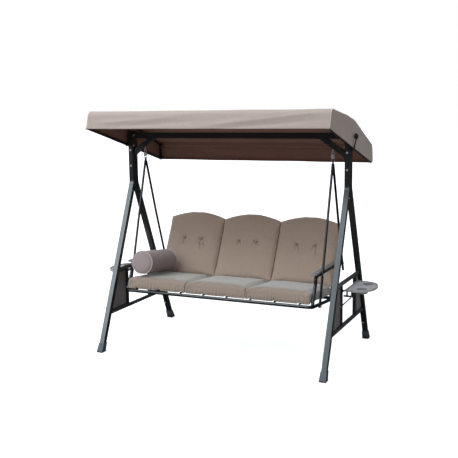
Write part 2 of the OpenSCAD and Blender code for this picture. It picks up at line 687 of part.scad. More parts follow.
module armrest_pads() color([0.6, 0.62, 0.64]) both()
  translate([0, 0, arm_z + seat_tube / 2 + gap]) linear_extrude(14) {
    pad_x = seat_x - 4;
    pad_w = 43;
    front_y = -330;
    rear_y = 158;
    translate([pad_x - pad_w / 2, front_y]) square([pad_w, rear_y - front_y]);
    for (y = [front_y, rear_y]) translate([pad_x, y]) circle(r = pad_w / 2);
  }
module seat_bolts() color(bolt_steel) both()
  // Each row: X of the inner tube, bolt place
  for (row = [[seat_x, front_bolt], [seat_x, arm_bolt], [upright_x, back_bolt]])
    bolt_x(row[0] - seat_tube / 2 - fit, rod_x + rod_d / 2 + fit, row[1][0], row[1][1]);
module rod_spacers() color(black) both()
  for (bolt = [front_bolt, arm_bolt, back_bolt]) difference() {
    cyl_x(seat_x + seat_tube / 2 + fit, rod_x - rod_d / 2 - fit, bolt[0], bolt[1], 7);
    cyl_x(seat_x, rod_x, bolt[0], bolt[1], bolt_r + gap);
  }
// End cap outside the tube end, facing dir, with a shank inside the tube.
module plug(end, dir, r, wall = seat_wall) {
  side = unit(cross(dir, [1, 0, 0.01]));
  frame_at(end, side, cross(dir, side), dir) {
    translate([0, 0, fit]) cylinder(r = r, h = 3);
    translate([0, 0, -10]) cylinder(r = r - wall - 0.15, h = 10.2);
  }
}
module tube_plugs() color([0.07, 0.07, 0.07]) both() {
  plug(seat_point(seat_x, rail_end_y), seat_dir, seat_tube / 2);
  plug([seat_x, arm_end_y, arm_z], y_axis, seat_tube / 2);
  plug([rod_x, rod_rear(rear_rod_end), rear_rod_end], unit([0, rear_rod_slope, -1]),
    rod_d / 2, rod_wall);
}

// ---- cushions ----
cushion_pitch = 496;
seat_pad_l = 496;
back_pad_l = 548;
back_pad_arc = 555;                   // radius of the top edge of a back cushion
slat_rise = seat_tube / 2 + slat_d + 0.8;  // from the side rail axis to the cushions
seat_cos = cos(atan(side_drop));
module seat_cushion(i)
  frame_at(seat_point(i * cushion_pitch, -403) + [0, 0, slat_rise / seat_cos],
    x_axis, seat_dir, seat_normal)
    translate([-cushion_w / 2, 0, 0]) cube([cushion_w, seat_pad_l, seat_pad_t]);
module seat_cushion_left() color(seat_fabric) seat_cushion(-1);
module seat_cushion_centre() color(seat_fabric) seat_cushion(0);
module seat_cushion_right() color(seat_fabric) seat_cushion(1);
// At the foot of a back cushion's front face, with Y up the face and Z out of it.
module back_face(i)
  frame_at([i * cushion_pitch, 102, 530], x_axis, back_up, back_normal) children();
module back_cushion(i) back_face(i)
  translate([0, 0, -back_pad_t]) linear_extrude(back_pad_t) intersection() {
    translate([-cushion_w / 2, 0]) square([cushion_w, back_pad_l]);
    translate([0, back_pad_l - back_pad_arc]) circle(r = back_pad_arc, $fn = 180);
  }
module back_cushion_left() color(back_fabric) back_cushion(-1);
module back_cushion_centre() color(back_fabric) back_cushion(0);
module back_cushion_right() color(back_fabric) back_cushion(1);
module back_buttons() color([0.5, 0.44, 0.4]) for (i = [-1:1]) back_face(i)
  for (x = [-76, 76]) translate([x, 305, 0.3]) cylinder(r = 12, h = 4);
module bolster() color([0.5, 0.46, 0.45]) {
  rise = (slat_rise + seat_pad_t + bolster_d / 2) / seat_cos + 15.6;
  translate(seat_point(-642, -355) + [0, 0, rise])
    rotate([-90 - bolster_fall, 0, 0]) cylinder(d = bolster_d, h = bolster_l);
}

// ---- canopy, drawn level about its pivots ----
canopy_r = canopy_tube / 2;
canopy_wall = 1.2;
side_tube_x = post_outer + 1.5 + canopy_r;
pivot_bore_r = bolt_r + 0.06;
module tilted() translate([0, pivot_y, pivot_z]) rotate([-canopy_lean, 0, 0]) children();

// Corners of the cover profile, front to rear: Y, Z from the pivots.
cover_points = [[-canopy_front, -4], [-canopy_front, 133], [-222, 179], [-22, 190],
  [canopy_rear - 42, 128], [canopy_rear + 10, 23], [canopy_rear, -4]];
cover_radii = [45, 240, 420, 40, 20]; // at the five inner corners

function rounded(p, radii) = concat([p[0]],
  [for (i = [1:len(p) - 2]) each corner(p[i - 1], p[i], p[i + 1], radii[i - 1])],
  [p[len(p) - 1]]);
// The profile moved inwards by e, corner by corner.
function inset(p, e) = [for (i = [0:len(p) - 1])
  let (before = i == 0 ? p[0] - (p[1] - p[0]) : p[i - 1],
       after = i == len(p) - 1 ? p[i] + (p[i] - p[i - 1]) : p[i + 1],
       dir_in = unit(p[i] - before), dir_out = unit(after - p[i]),
       normal = [dir_in[1], -dir_in[0]],
       mitre = unit(normal + [dir_out[1], -dir_out[0]]))
  p[i] + mitre * e / (mitre * normal)];
// The rounded profile inset by e, its lower edges carried down.
module profile(e, down) {
  s = rounded(inset(cover_points, e), [for (r = cover_radii) max(r - e, 4)]);
  end = s[len(s) - 1];
  polygon(concat([s[0] - [0, down]], s, [end - [0, down]]));
}
module canopy_cover() color([0.64, 0.59, 0.55]) tilted() difference() {
  inner_x = canopy_half - cover_t;
  extrude_x(-canopy_half, canopy_half) profile(0, 0);
  extrude_x(-inner_x, inner_x) profile(cover_t, 20);
  hole_x(0, 0, 0, canopy_half + 5, bolt_r + 5);
}

// Centre line of an end bow under the cover, its feet at height foot.
bow_corners = inset(cover_points, cover_t + 1.2 + canopy_r);
bow_radii = [40, 240, 420, 36];
function bow_points(x, foot) = [for (p = [[bow_corners[0][0], foot],
  bow_corners[1], bow_corners[2], bow_corners[3], bow_corners[4],
  [bow_corners[6][0] + 0.5, foot]]) [x, p[0], p[1]]];
// The middle of bend i of the end bows.
function bow_mid(i) =
  let (p = bow_points(0, canopy_r))
  corner(p[i - 1], p[i], p[i + 1], bow_radii[i - 1])[corner_steps / 2];

// A tube along X between the end bows at bend i.
module canopy_crossbar(i) {
  mid = bow_mid(i);
  end = [side_tube_x - canopy_r - 0.3, 0, 0];
  bar(mid - end, mid + end, z_axis) ring(canopy_tube, canopy_wall);
}
module canopy_side_tubes() color(black) tilted() both() difference() {
  union() {
    bar([side_tube_x, 4 - canopy_front, 0], [side_tube_x, canopy_rear - 7, 0], x_axis)
      ring(canopy_tube, canopy_wall);
    for (y = [2.8 - canopy_front, canopy_rear - 9]) cyl_y(y, y + 3, side_tube_x, 0, canopy_r);
  }
  hole_x(side_tube_x, 0, 0, 20, pivot_bore_r);
}
module canopy_cross_tubes() color(black) tilted() for (i = [1, 4]) canopy_crossbar(i);
module canopy_end_bows() color(black) tilted() both() difference() {
  tube_run(bow_points(side_tube_x, canopy_r - 2), bow_radii, x_axis, canopy_tube, canopy_wall);
  bar([side_tube_x, -canopy_front, 0], [side_tube_x, canopy_rear, 0], x_axis)
    circle(d = canopy_tube + 0.2);
}
module canopy_ridge_tube() color(black) tilted() canopy_crossbar(3);

module lever() translate([0, pivot_y, pivot_z]) difference() {
  union() {
    cyl_x(canopy_half + 0.8, canopy_half + 9, 0, 0, 9);
    bar([canopy_half + 5, 0, 4], [canopy_half + 18.5, 0, 58], y_axis) circle(d = 9);
  }
  cyl_x(canopy_half - 5, canopy_half + 6.3, 0, 0, pivot_bore_r);
  translate([canopy_half, -20, 56]) cube([40, 40, 20]);
}
// An egg-shaped knob with a flat base, turned from an elliptical arc.
module lever_knob() translate([canopy_half + 17.5, pivot_y, pivot_z + 56.2])
  rotate_extrude() polygon(concat([[0, 0], [7, 0]],
    [for (i = [0:12]) let (a = -55 + i * 145 / 12) [15.5 * cos(a), 21 + 22 * sin(a)]]));
module right_lever() color(black) lever();
module left_lever() color(black) mirror(x_axis) lever();
module right_lever_knob() color(knob_black) lever_knob();
module left_lever_knob() color(knob_black) mirror(x_axis) lever_knob();

upper_legs();
lower_legs();
leg_joint_bolts();
post_caps();
foot_caps();
post_bolts();
top_beam();
beam_end_plates();
beam_bolts();
knee_braces();
eye_bolts();
eye_nuts();
canopy_pivot_bolts();
pivot_washers();
side_rails();
side_struts();
side_mesh_panels();
leg_strips();
strip_bolts();
tray_hinge_brackets();
tray_hinge_pins();
stay_pins();
right_tray();
right_tray_arm();
right_tray_stay();
left_tray();
left_tray_arm();
left_tray_stay();
hanger_springs();
hanger_lugs();
front_rods();
rear_rods();
seat_frame();
rear_rail();
seat_slats();
back_frame();
back_slats();
armrest_tubes();
armrest_pads();
seat_bolts();
rod_spacers();
tube_plugs();
seat_cushion_left();
seat_cushion_centre();
seat_cushion_right();
back_cushion_left();
back_cushion_centre();
back_cushion_right();
back_buttons();
bolster();
canopy_side_tubes();
canopy_cross_tubes();
canopy_end_bows();
canopy_ridge_tube();
canopy_cover();
right_lever();
left_lever();
right_lever_knob();
left_lever_knob();
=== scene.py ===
"""A three-seat swing with cushions, a bolster, side mesh panels and a leaning cloth canopy.

X runs across the seats (the parts called left are at -X), -Y is the open front and +Z is up.
Lengths are in metres, except in the canopy section, which is drawn in millimetres.
The hard parts come from the CAD and get new finishes; the soft and moulded parts are rebuilt.
"""
from functools import cached_property
from math import acos, atan, cos, pi, radians, sin, tan

import bpy
import numpy as np
from mathutils import Matrix, Vector


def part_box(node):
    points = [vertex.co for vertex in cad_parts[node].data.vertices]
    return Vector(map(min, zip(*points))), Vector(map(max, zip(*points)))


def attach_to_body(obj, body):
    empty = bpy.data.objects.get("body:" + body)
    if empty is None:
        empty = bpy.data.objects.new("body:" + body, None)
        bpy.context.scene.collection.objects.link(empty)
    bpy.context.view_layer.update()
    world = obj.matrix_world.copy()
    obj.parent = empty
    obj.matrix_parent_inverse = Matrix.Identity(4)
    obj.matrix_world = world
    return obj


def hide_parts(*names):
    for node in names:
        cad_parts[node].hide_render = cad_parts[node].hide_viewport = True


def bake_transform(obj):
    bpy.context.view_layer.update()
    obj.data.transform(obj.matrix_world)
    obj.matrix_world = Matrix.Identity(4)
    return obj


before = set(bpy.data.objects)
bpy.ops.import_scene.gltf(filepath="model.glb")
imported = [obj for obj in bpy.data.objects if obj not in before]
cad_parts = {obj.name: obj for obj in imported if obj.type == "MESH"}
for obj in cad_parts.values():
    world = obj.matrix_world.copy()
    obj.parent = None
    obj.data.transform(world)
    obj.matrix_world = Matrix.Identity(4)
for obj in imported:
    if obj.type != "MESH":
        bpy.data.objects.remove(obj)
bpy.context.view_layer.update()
scene = bpy.context.scene

MM = 0.001
CANOPY_LEAN = radians(14.9)      # the canopy is tipped down at the front


# ------------------------------------------------------------------ node helpers
class Graph:
    """Short calls for building a node tree."""

    def __init__(self, tree):
        self.tree = tree
        tree.nodes.clear()

    def node(self, kind, **settings):
        node = self.tree.nodes.new(kind)
        for key, value in settings.items():
            setattr(node, key, value)
        return node

    def put(self, socket, value):
        """Links a socket to another one, or sets its value."""
        if isinstance(value, bpy.types.NodeSocket):
            self.tree.links.new(value, socket)
        else:
            socket.default_value = value

    def math(self, operation, a, b=0.0, c=0.0):
        """A math node; an input given as None is left alone."""
        node = self.node("ShaderNodeMath", operation=operation)
        for socket, value in zip(node.inputs, (a, b, c)):
            if value is not None:
                self.put(socket, value)
        return node.outputs[0]

    def plus(self, a, b):
        return self.math("ADD", a, b)

    def minus(self, a, b):
        return self.math("SUBTRACT", a, b)

    def times(self, a, b):
        return self.math("MULTIPLY", a, b)

    def remap(self, value, source, target=(0.0, 1.0), interpolation="LINEAR"):
        node = self.node("ShaderNodeMapRange", interpolation_type=interpolation)
        for socket, item in zip(node.inputs, (value, *source, *target)):
            self.put(socket, item)
        return node.outputs[0]

    def separate(self, vector):
        node = self.node("ShaderNodeSeparateXYZ")
        self.put(node.inputs[0], vector)
        return node.outputs


class Surface(Graph):
    """A material with one Principled shader."""

    def __init__(self, name):
        self.material = bpy.data.materials.new(name)
        self.material.use_nodes = True
        super().__init__(self.material.node_tree)
        output = self.node("ShaderNodeOutputMaterial")
        self.shader = self.node("ShaderNodeBsdfPrincipled")
        self.put(output.inputs[0], self.shader.outputs[0])
        self.coordinate = self.node("ShaderNodeTexCoord")
        self.place = self.coordinate.outputs["Object"]

    @cached_property
    def geometry(self):
        return self.node("ShaderNodeNewGeometry").outputs

    def vector(self, operation, a, b):
        node = self.node("ShaderNodeVectorMath", operation=operation)
        self.put(node.inputs[0], a)
        self.put(node.inputs[1], b)
        return node.outputs[1 if operation == "DOT_PRODUCT" else 0]

    def scaled(self, vector, factor):
        node = self.node("ShaderNodeVectorMath", operation="SCALE")
        self.put(node.inputs[0], vector)
        self.put(node.inputs[3], factor)
        return node.outputs[0]

    def noise(self, vector, scale, detail=2.0, rough=0.5):
        node = self.node("ShaderNodeTexNoise")
        self.put(node.inputs["Vector"], vector)
        node.inputs["Scale"].default_value = scale
        node.inputs["Detail"].default_value = detail
        node.inputs["Roughness"].default_value = rough
        return node.outputs["Fac"]

    def voronoi(self, scale):
        node = self.node("ShaderNodeTexVoronoi")
        self.put(node.inputs["Vector"], self.place)
        node.inputs["Scale"].default_value = scale
        return node.outputs["Distance"]

    def mix(self, factor, *colors):
        """Blends two colours, each a socket or an RGB triple."""
        node = self.node("ShaderNodeMix", data_type="RGBA")
        self.put(node.inputs[0], factor)
        for socket, color in zip((node.inputs[6], node.inputs[7]), colors):
            self.put(socket, color if isinstance(color, bpy.types.NodeSocket) else (*color, 1))
        return node.outputs[2]

    def bump(self, height, distance, strength, normal=None):
        node = self.node("ShaderNodeBump")
        node.inputs["Distance"].default_value = distance
        self.put(node.inputs["Strength"], strength)
        self.put(node.inputs["Height"], height)
        if normal is not None:
            self.put(node.inputs["Normal"], normal)
        return node.outputs[0]

    def bevel(self, radius):
        node = self.node("ShaderNodeBevel", samples=4)
        node.inputs["Radius"].default_value = radius
        return node.outputs[0]

    def edges(self, bevelled, start):
        """1 where the bevelled normal turns well away from the true one."""
        agreement = self.vector("DOT_PRODUCT", bevelled, self.geometry["Normal"])
        return self.remap(agreement, (start, 0.86))

    def by_distance(self, source, target):
        """A value that changes with the distance from the camera."""
        distance = self.node("ShaderNodeCameraData").outputs["View Distance"]
        return self.remap(distance, source, target)

    def set(self, **inputs):
        """Sets Principled inputs; an underscore in a key stands for a space."""
        for key, value in inputs.items():
            self.put(self.shader.inputs[key.replace("_", " ")], value)


def srgb(*channels):
    """Linear colour from 0-255 sRGB channels."""
    shares = [c / 255 for c in channels]
    return tuple(s / 12.92 if s <= 0.04045 else ((s + 0.055) / 1.055) ** 2.4 for s in shares)


def shade(color, factor):
    return tuple(min(1, c * factor) for c in color)


# ------------------------------------------------------------------ materials
def coated_steel(name, base, rough, spec, wear, edge=(0.16, 0.165, 0.17), peel=0.3):
    """Coated tube: fine orange peel, uneven gloss, rubbed edges, dust on upward faces."""
    g = Surface(name)
    rounded = g.bevel(0.0016)
    rub = g.remap(g.noise(g.place, scale=46.0, detail=4.0, rough=0.65), (0.45, 0.7), (0.0, wear))
    worn = g.times(g.edges(rounded, start=0.995), rub)
    tone = g.remap(g.noise(g.place, scale=5.0, detail=3.0, rough=0.6), (0.3, 0.7), (0.82, 1.2))
    upward = g.vector("DOT_PRODUCT", g.geometry["Normal"], (0, 0, 1))
    patches = g.remap(g.noise(g.place, scale=14.0, detail=4.0, rough=0.6), (0.4, 0.65))
    dust = g.times(g.remap(upward, (0.55, 1.0), (0.0, 0.08)), patches)
    color = g.mix(dust, g.scaled(base, tone), (0.30, 0.30, 0.29))
    streaks = g.noise(g.vector("MULTIPLY", g.place, (40, 40, 6)), scale=6.0, detail=5.0, rough=0.7)
    gloss = g.remap(streaks, (0.3, 0.7), (rough - 0.03, rough + 0.04))
    grain = g.plus(g.times(g.noise(g.place, scale=950.0), 0.7),
                   g.times(g.noise(g.place, scale=260.0, detail=1.0), 0.6))
    strength = g.times(g.by_distance((1.2, 5.0), (1.0, 0.15)), peel)
    g.set(Base_Color=g.mix(worn, color, edge),
          IOR=1.5,
          Specular_IOR_Level=spec,
          Roughness=g.plus(gloss, g.times(dust, 0.5)),
          Normal=g.bump(grain, 0.00025, strength, rounded))
    return g.material


def zinc(name):
    """Plated steel: small flakes of two greys with dull patches."""
    g = Surface(name)
    flakes = g.remap(g.voronoi(420.0), (0.0, 0.6))
    color = g.mix(flakes, (0.60, 0.61, 0.61), (0.80, 0.80, 0.78))
    dull = g.remap(g.noise(g.place, scale=90.0, detail=4.0, rough=0.7), (0.42, 0.62), (0.0, 0.5))
    gloss = g.noise(g.place, scale=260.0, detail=3.0)
    g.set(Base_Color=g.mix(dull, color, (0.40, 0.39, 0.37)),
          Metallic=0.45,
          Roughness=g.remap(gloss, (0.3, 0.7), (0.26, 0.46)),
          Normal=g.bump(g.noise(g.place, scale=1300.0), 0.0001, 0.25, g.bevel(0.0006)))
    return g.material


def plastic(name, base, rough, grain=0.35, light=None):
    """Moulded plastic: fine grain, broad tone changes, paler edges, painted shade in recesses."""
    g = Surface(name)
    light = light or tuple(min(1, c * 1.7 + 0.02) for c in base)
    rounded = g.bevel(0.002)
    rub = g.remap(g.noise(g.place, scale=70.0, detail=4.0, rough=0.6), (0.4, 0.65), (0.1, 0.4))
    worn = g.times(g.edges(rounded, start=0.99), rub)
    tone = g.remap(g.noise(g.place, scale=9.0, detail=4.0, rough=0.6), (0.3, 0.7), (0.9, 1.1))
    # Painted shade: the base colour darkens where ambient occlusion finds the surface enclosed.
    occlusion = g.node("ShaderNodeAmbientOcclusion", samples=4)
    occlusion.inputs["Distance"].default_value = 0.05
    hollow_shade = g.remap(occlusion.outputs["AO"], (0.30, 0.92), (0.85, 0.0))
    color = g.mix(worn, g.scaled(base, tone), light)
    height = g.plus(g.voronoi(900.0), g.times(g.noise(g.place, scale=2200.0, detail=1.0), 0.4))
    strength = g.times(g.by_distance((1.2, 5.0), (1.0, 0.2)), grain)
    gloss = g.noise(g.place, scale=30.0, detail=5.0, rough=0.7)
    g.set(Base_Color=g.mix(hollow_shade, color, shade(base, 0.12)),
          Roughness=g.remap(gloss, (0.3, 0.7), (rough - 0.07, rough + 0.1)),
          Normal=g.bump(height, 0.0002, strength, rounded))
    return g.material


def woven(name, base, second, pitch, sheen, bump=0.6, sheen_tint=(0.8, 0.76, 0.72),
          slub=0.10, turn=0.0):
    """Plain weave on all three axes, with slubs and mixed yarns, a painted highlight on convex
    ridges and painted shade in concave dips.

    turn rotates the weave about X, so that it follows the leaning canopy.
    """
    g = Surface(name)
    place, normal = g.place, g.coordinate.outputs["Normal"]
    if turn:
        turned = []
        for vector in (place, normal):
            node = g.node("ShaderNodeVectorRotate", rotation_type="X_AXIS")
            node.inputs["Angle"].default_value = turn
            g.put(node.inputs["Vector"], vector)
            turned.append(node.outputs[0])
        place, normal = turned

    # Threads: sines along each axis, let wander a little by noise.
    wander = g.noise(place, scale=35.0)
    offset = g.node("ShaderNodeCombineXYZ")
    for socket in offset.inputs:
        g.put(socket, g.times(wander, 2.2))
    phase = g.vector("ADD", g.scaled(place, 2 * pi / pitch), offset.outputs[0])
    threads = [g.math("SINE", axis) for axis in g.separate(phase)]
    # Each face takes the crossing of the two axes that lie in it.
    facing = [g.math("POWER", g.math("ABSOLUTE", axis), 3.0) for axis in g.separate(normal)]
    total = g.plus(g.plus(facing[0], facing[1]), g.plus(facing[2], 0.001))
    on_z = g.times(facing[2], g.times(threads[0], threads[1]))
    on_x = g.times(facing[0], g.times(threads[1], threads[2]))
    on_y = g.times(facing[1], g.times(threads[0], threads[2]))
    weave = g.math("DIVIDE", g.plus(on_z, g.plus(on_x, on_y)), total)

    slub_a = g.noise(g.vector("MULTIPLY", place, (30, 420, 420)), scale=1.0)
    slub_b = g.noise(g.vector("MULTIPLY", place, (420, 30, 30)), scale=1.0)
    melange = g.noise(place, scale=240.0, detail=3.0, rough=0.7)
    broad = g.noise(place, scale=4.0, detail=3.0, rough=0.55)
    fade = g.by_distance((1.0, 5.0), (1.0, 0.2))
    tone = g.plus(1.0, g.times(g.times(weave, fade), 0.10))
    tone = g.plus(tone, g.times(g.minus(g.plus(slub_a, slub_b), 1.0), slub * 1.6))
    tone = g.plus(tone, g.times(g.minus(broad, 0.5), 0.16))
    # Painted highlight on convex ridges and painted shade in concave dips, both read from the
    # surface's pointiness.
    ridges = g.remap(g.geometry["Pointiness"], (0.505, 0.56), (0.0, 0.10))
    crease_shade = g.remap(g.geometry["Pointiness"], (0.495, 0.44), (0.0, 0.30))
    color = g.mix(g.remap(melange, (0.35, 0.65)), base, second)
    color = g.mix(ridges, color, shade(base, 1.6))
    color = g.mix(crease_shade, color, shade(base, 0.45))
    height = g.plus(g.times(weave, 0.5), g.times(slub_a, 0.5))
    g.set(Base_Color=g.scaled(color, tone),
          Roughness=0.88,
          Specular_IOR_Level=0.25,
          Sheen_Weight=sheen,
          Sheen_Roughness=0.5,
          Sheen_Tint=(*sheen_tint, 1),
          Normal=g.bump(height, 0.0006, g.times(fade, bump)))
    return g.material


def open_mesh(name, base):
    """Coarse mesh in the YZ plane with small see-through openings and darker level bands."""
    g = Surface(name)
    pitch = 0.0028
    _, y, z = g.separate(g.place)
    upright = g.math("SINE", g.times(y, 2 * pi / pitch))
    level = g.math("SINE", g.times(z, 2 * pi / pitch))
    bands = g.math("SINE", g.times(z, 2 * pi / (pitch * 7)))
    hole = g.times(g.remap(upright, (0.1, 1.0)), g.remap(level, (0.1, 1.0)))
    hole = g.remap(hole, (0.15, 0.5))
    # Far away the openings give way to an even, slight transparency.
    far = g.by_distance((1.2, 4.0), (0.0, 1.0))
    clear = g.plus(g.times(hole, g.minus(1.0, far)), g.times(far, 0.06))
    yarn = g.remap(g.noise(g.place, scale=300.0, detail=3.0), (0.35, 0.65))
    broad = g.remap(g.noise(g.place, scale=6.0, detail=3.0), (0.35, 0.7), (0.0, 0.5))
    color = g.mix(yarn, base, shade(base, 0.7))
    color = g.mix(g.remap(bands, (0.6, 1.0), (0.0, 0.35)), color, shade(base, 0.45))
    color = g.mix(broad, color, shade(base, 1.25))
    g.set(Base_Color=color,
          Roughness=0.6,
          Alpha=g.minus(1.0, clear),
          Normal=g.bump(g.plus(upright, level), 0.0005, 0.4))
    return g.material


M = {
    "leg": coated_steel("frame_steel_coat", (0.0112, 0.0125, 0.0132),
                        rough=0.30, spec=1.0, wear=0.15),
    "rail": coated_steel("rail_steel_coat", (0.045, 0.045, 0.043),
                         rough=0.38, spec=0.9, wear=0.35, edge=(0.25, 0.25, 0.24)),
    "black": coated_steel("black_steel_coat", (0.0062, 0.0068, 0.0072),
                          rough=0.30, spec=0.75, wear=0.2, edge=(0.09, 0.09, 0.095), peel=0.2),
    "zinc": zinc("zinc_plate"),
    "black_plastic": plastic("black_plastic_moulded", (0.011, 0.011, 0.012), rough=0.42),
    "foot_plastic": plastic("foot_plastic_moulded", srgb(78, 84, 91), rough=0.52),
    "grey_plastic": plastic("tray_plastic_moulded", srgb(176, 174, 175),
                            rough=0.45, grain=0.25, light=srgb(200, 200, 203)),
    "arm_plastic": plastic("armrest_plastic_moulded", srgb(126, 126, 128),
                           rough=0.42, grain=0.25, light=srgb(175, 176, 180)),
    "knob": plastic("knob_plastic_moulded", (0.020, 0.022, 0.026), rough=0.25, grain=0.12),
    "mesh": open_mesh("side_mesh_weave", srgb(126, 119, 118)),
    "hem_dark": woven("side_mesh_hem", srgb(52, 49, 49), srgb(42, 40, 41),
                      pitch=0.0021, sheen=0.05),
    "canopy": woven("canopy_polyester", srgb(172, 157, 149), srgb(161, 146, 138),
                    pitch=0.0024, sheen=0.12, bump=0.5, slub=0.07, turn=CANOPY_LEAN),
    # The underside is the canopy cloth in a darker brown copy: painted shade under the canopy.
    "canopy_in": woven("canopy_underside", srgb(134, 99, 87), srgb(122, 88, 77),
                       pitch=0.0024, sheen=0.02, bump=0.4, slub=0.06, turn=CANOPY_LEAN),
    "canopy_edge": woven("canopy_binding", srgb(205, 193, 184), srgb(190, 178, 168),
                         pitch=0.0018, sheen=0.2),
    # Seat and back covers are one cloth in two copies: the seat copy is darker, painted shade on
    # the cushion fronts, and the back copy is lighter, painted light on the backs.
    "seat": woven("seat_polyester", srgb(148, 130, 116), srgb(136, 118, 105),
                  pitch=0.0021, sheen=0.92, sheen_tint=(0.78, 0.86, 0.86)),
    "back": woven("back_polyester", srgb(184, 165, 149), srgb(170, 150, 135),
                  pitch=0.0021, sheen=0.15),
    "button": woven("button_polyester", srgb(140, 124, 112), srgb(128, 112, 100),
                    pitch=0.0016, sheen=0.1),
    "bolster": woven("bolster_polyester", srgb(158, 143, 141), srgb(144, 129, 128),
                     pitch=0.0023, sheen=0.22, bump=0.7),
    "piping": woven("bolster_piping", srgb(186, 171, 167), srgb(172, 157, 154),
                    pitch=0.0016, sheen=0.2),
    "thread": woven("stitch_thread", srgb(205, 192, 180), srgb(190, 178, 166),
                    pitch=0.0009, sheen=0.1, bump=0.3),
}


# ------------------------------------------------------------------ mesh helpers
def make(name, verts, faces, materials, smooth=True, matrix=None, bake=False):
    """A mesh object; bake moves the vertices by the matrix instead of the object."""
    mesh = bpy.data.meshes.new(name)
    if bake:
        verts, matrix = [matrix @ Vector(v) for v in verts], None
    mesh.from_pydata([tuple(v) for v in verts], [], [tuple(int(i) for i in f) for f in faces])
    mesh.validate()
    mesh.update()
    for material in materials if isinstance(materials, list) else [materials]:
        mesh.materials.append(material)
    ob = bpy.data.objects.new(name, mesh)
    scene.collection.objects.link(ob)
    if matrix is not None:
        ob.matrix_world = matrix
    if smooth:
        mesh.polygons.foreach_set("use_smooth", [True] * len(mesh.polygons))
    return ob


def attach(ride, slot, *objects):
    for ob in objects:
        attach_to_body(ob, ride)


def cad_points(name, into=Matrix.Identity(4)):
    """Vertices of a CAD part, taken through a matrix."""
    return np.array([into @ v.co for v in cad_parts[name].data.vertices])


def grid_faces(rows, cols, wrap_rows=False, wrap_cols=False, flip=False):
    faces = []
    for i in range(rows if wrap_rows else rows - 1):
        for j in range(cols if wrap_cols else cols - 1):
            a, b = i * cols + j, i * cols + (j + 1) % cols
            c, d = ((i + 1) % rows) * cols + (j + 1) % cols, ((i + 1) % rows) * cols + j
            faces.append((a, d, c, b) if flip else (a, b, c, d))
    return faces


def rim_faces(rows, cols):
    """Faces that join the outlines of two grids stored one after the other."""
    size = rows * cols
    rim = [i * cols for i in range(rows)]
    rim += [(rows - 1) * cols + j for j in range(1, cols)]
    rim += [i * cols + cols - 1 for i in range(rows - 2, -1, -1)]
    rim += list(range(cols - 2, 0, -1))
    return [(a, b, b + size, a + size) for a, b in zip(rim, rim[1:] + rim[:1])]


def apply_modifiers(ob):
    bpy.context.view_layer.update()
    depsgraph = bpy.context.evaluated_depsgraph_get()
    mesh = bpy.data.meshes.new_from_object(ob.evaluated_get(depsgraph))
    ob.modifiers.clear()
    old = ob.data
    ob.data = mesh
    bpy.data.meshes.remove(old)
    mesh.polygons.foreach_set("use_smooth", [True] * len(mesh.polygons))


def modify(ob, kind, **settings):
    """Adds one modifier and applies it."""
    modifier = ob.modifiers.new(kind.lower(), kind)
    for key, value in settings.items():
        setattr(modifier, key, value)
    apply_modifiers(ob)


def coords(mesh):
    co = np.zeros(len(mesh.vertices) * 3)
    mesh.vertices.foreach_get("co", co)
    return co.reshape(-1, 3)


def set_coords(ob, co):
    ob.data.vertices.foreach_set("co", np.asarray(co, float).ravel())
    ob.data.update()


def normals(mesh):
    normal = np.zeros(len(mesh.vertices) * 3)
    mesh.vertex_normals.foreach_get("vector", normal)
    return normal.reshape(-1, 3)


def sweep(points, radius, sides, closed=False, up=(0, 0, 1)):
    """Rings round a path, as verts and faces; radius is one value or one per point."""
    path = np.array(points, float)
    count = len(path)
    radii = np.full(count, radius, float)
    if closed:
        tangent = np.roll(path, -1, 0) - np.roll(path, 1, 0)
    else:
        tangent = np.gradient(path, axis=0)
    tangent /= np.linalg.norm(tangent, axis=1)[:, None]
    side = np.array(up, float)
    verts = []
    for centre, radius_here, t in zip(path, radii, tangent):
        side = side - t * (side @ t)
        if np.linalg.norm(side) < 1e-6:      # the path runs along "up": start from elsewhere
            side = np.array([1.0, 0.3, 0.2])
            side = side - t * (side @ t)
        side /= np.linalg.norm(side)
        across = np.cross(t, side)
        for j in range(sides):
            a = 2 * pi * j / sides
            verts.append(centre + radius_here * (cos(a) * side + sin(a) * across))
    faces = grid_faces(count, sides, closed, True)
    if not closed:
        faces.append(tuple(range(sides))[::-1])
        faces.append(tuple((count - 1) * sides + j for j in range(sides)))
    return verts, faces


def merge(parts):
    verts, faces = [], []
    for part_verts, part_faces in parts:
        first = len(verts)
        verts += [tuple(v) for v in part_verts]
        faces += [tuple(i + first for i in face) for face in part_faces]
    return verts, faces


def lengths_along(points):
    return np.r_[0, np.cumsum(np.linalg.norm(np.diff(points, axis=0), axis=1))]


def points_at(points, lengths, at):
    axes = range(points.shape[1])
    return np.stack([np.interp(at, lengths, points[:, i]) for i in axes], -1)


def stitch_run(path, pitch=0.0062, length=0.0042, radius=0.00045):
    """Short threads laid end to end along a path."""
    path = np.array(path, float)
    run = lengths_along(path)
    parts = []
    start = pitch / 2
    while start + length < run[-1]:
        thread = [points_at(path, run, start + length * f) for f in (0, 0.5, 1)]
        parts.append(sweep(thread, [radius * 0.5, radius, radius * 0.5], 5))
        start += pitch
    return merge(parts)


def basis(origin, x_axis, y_axis, z_axis):
    matrix = Matrix.Identity(4)
    for i, column in enumerate((x_axis, y_axis, z_axis, origin)):
        for j in range(3):
            matrix[j][i] = column[j]
    return matrix


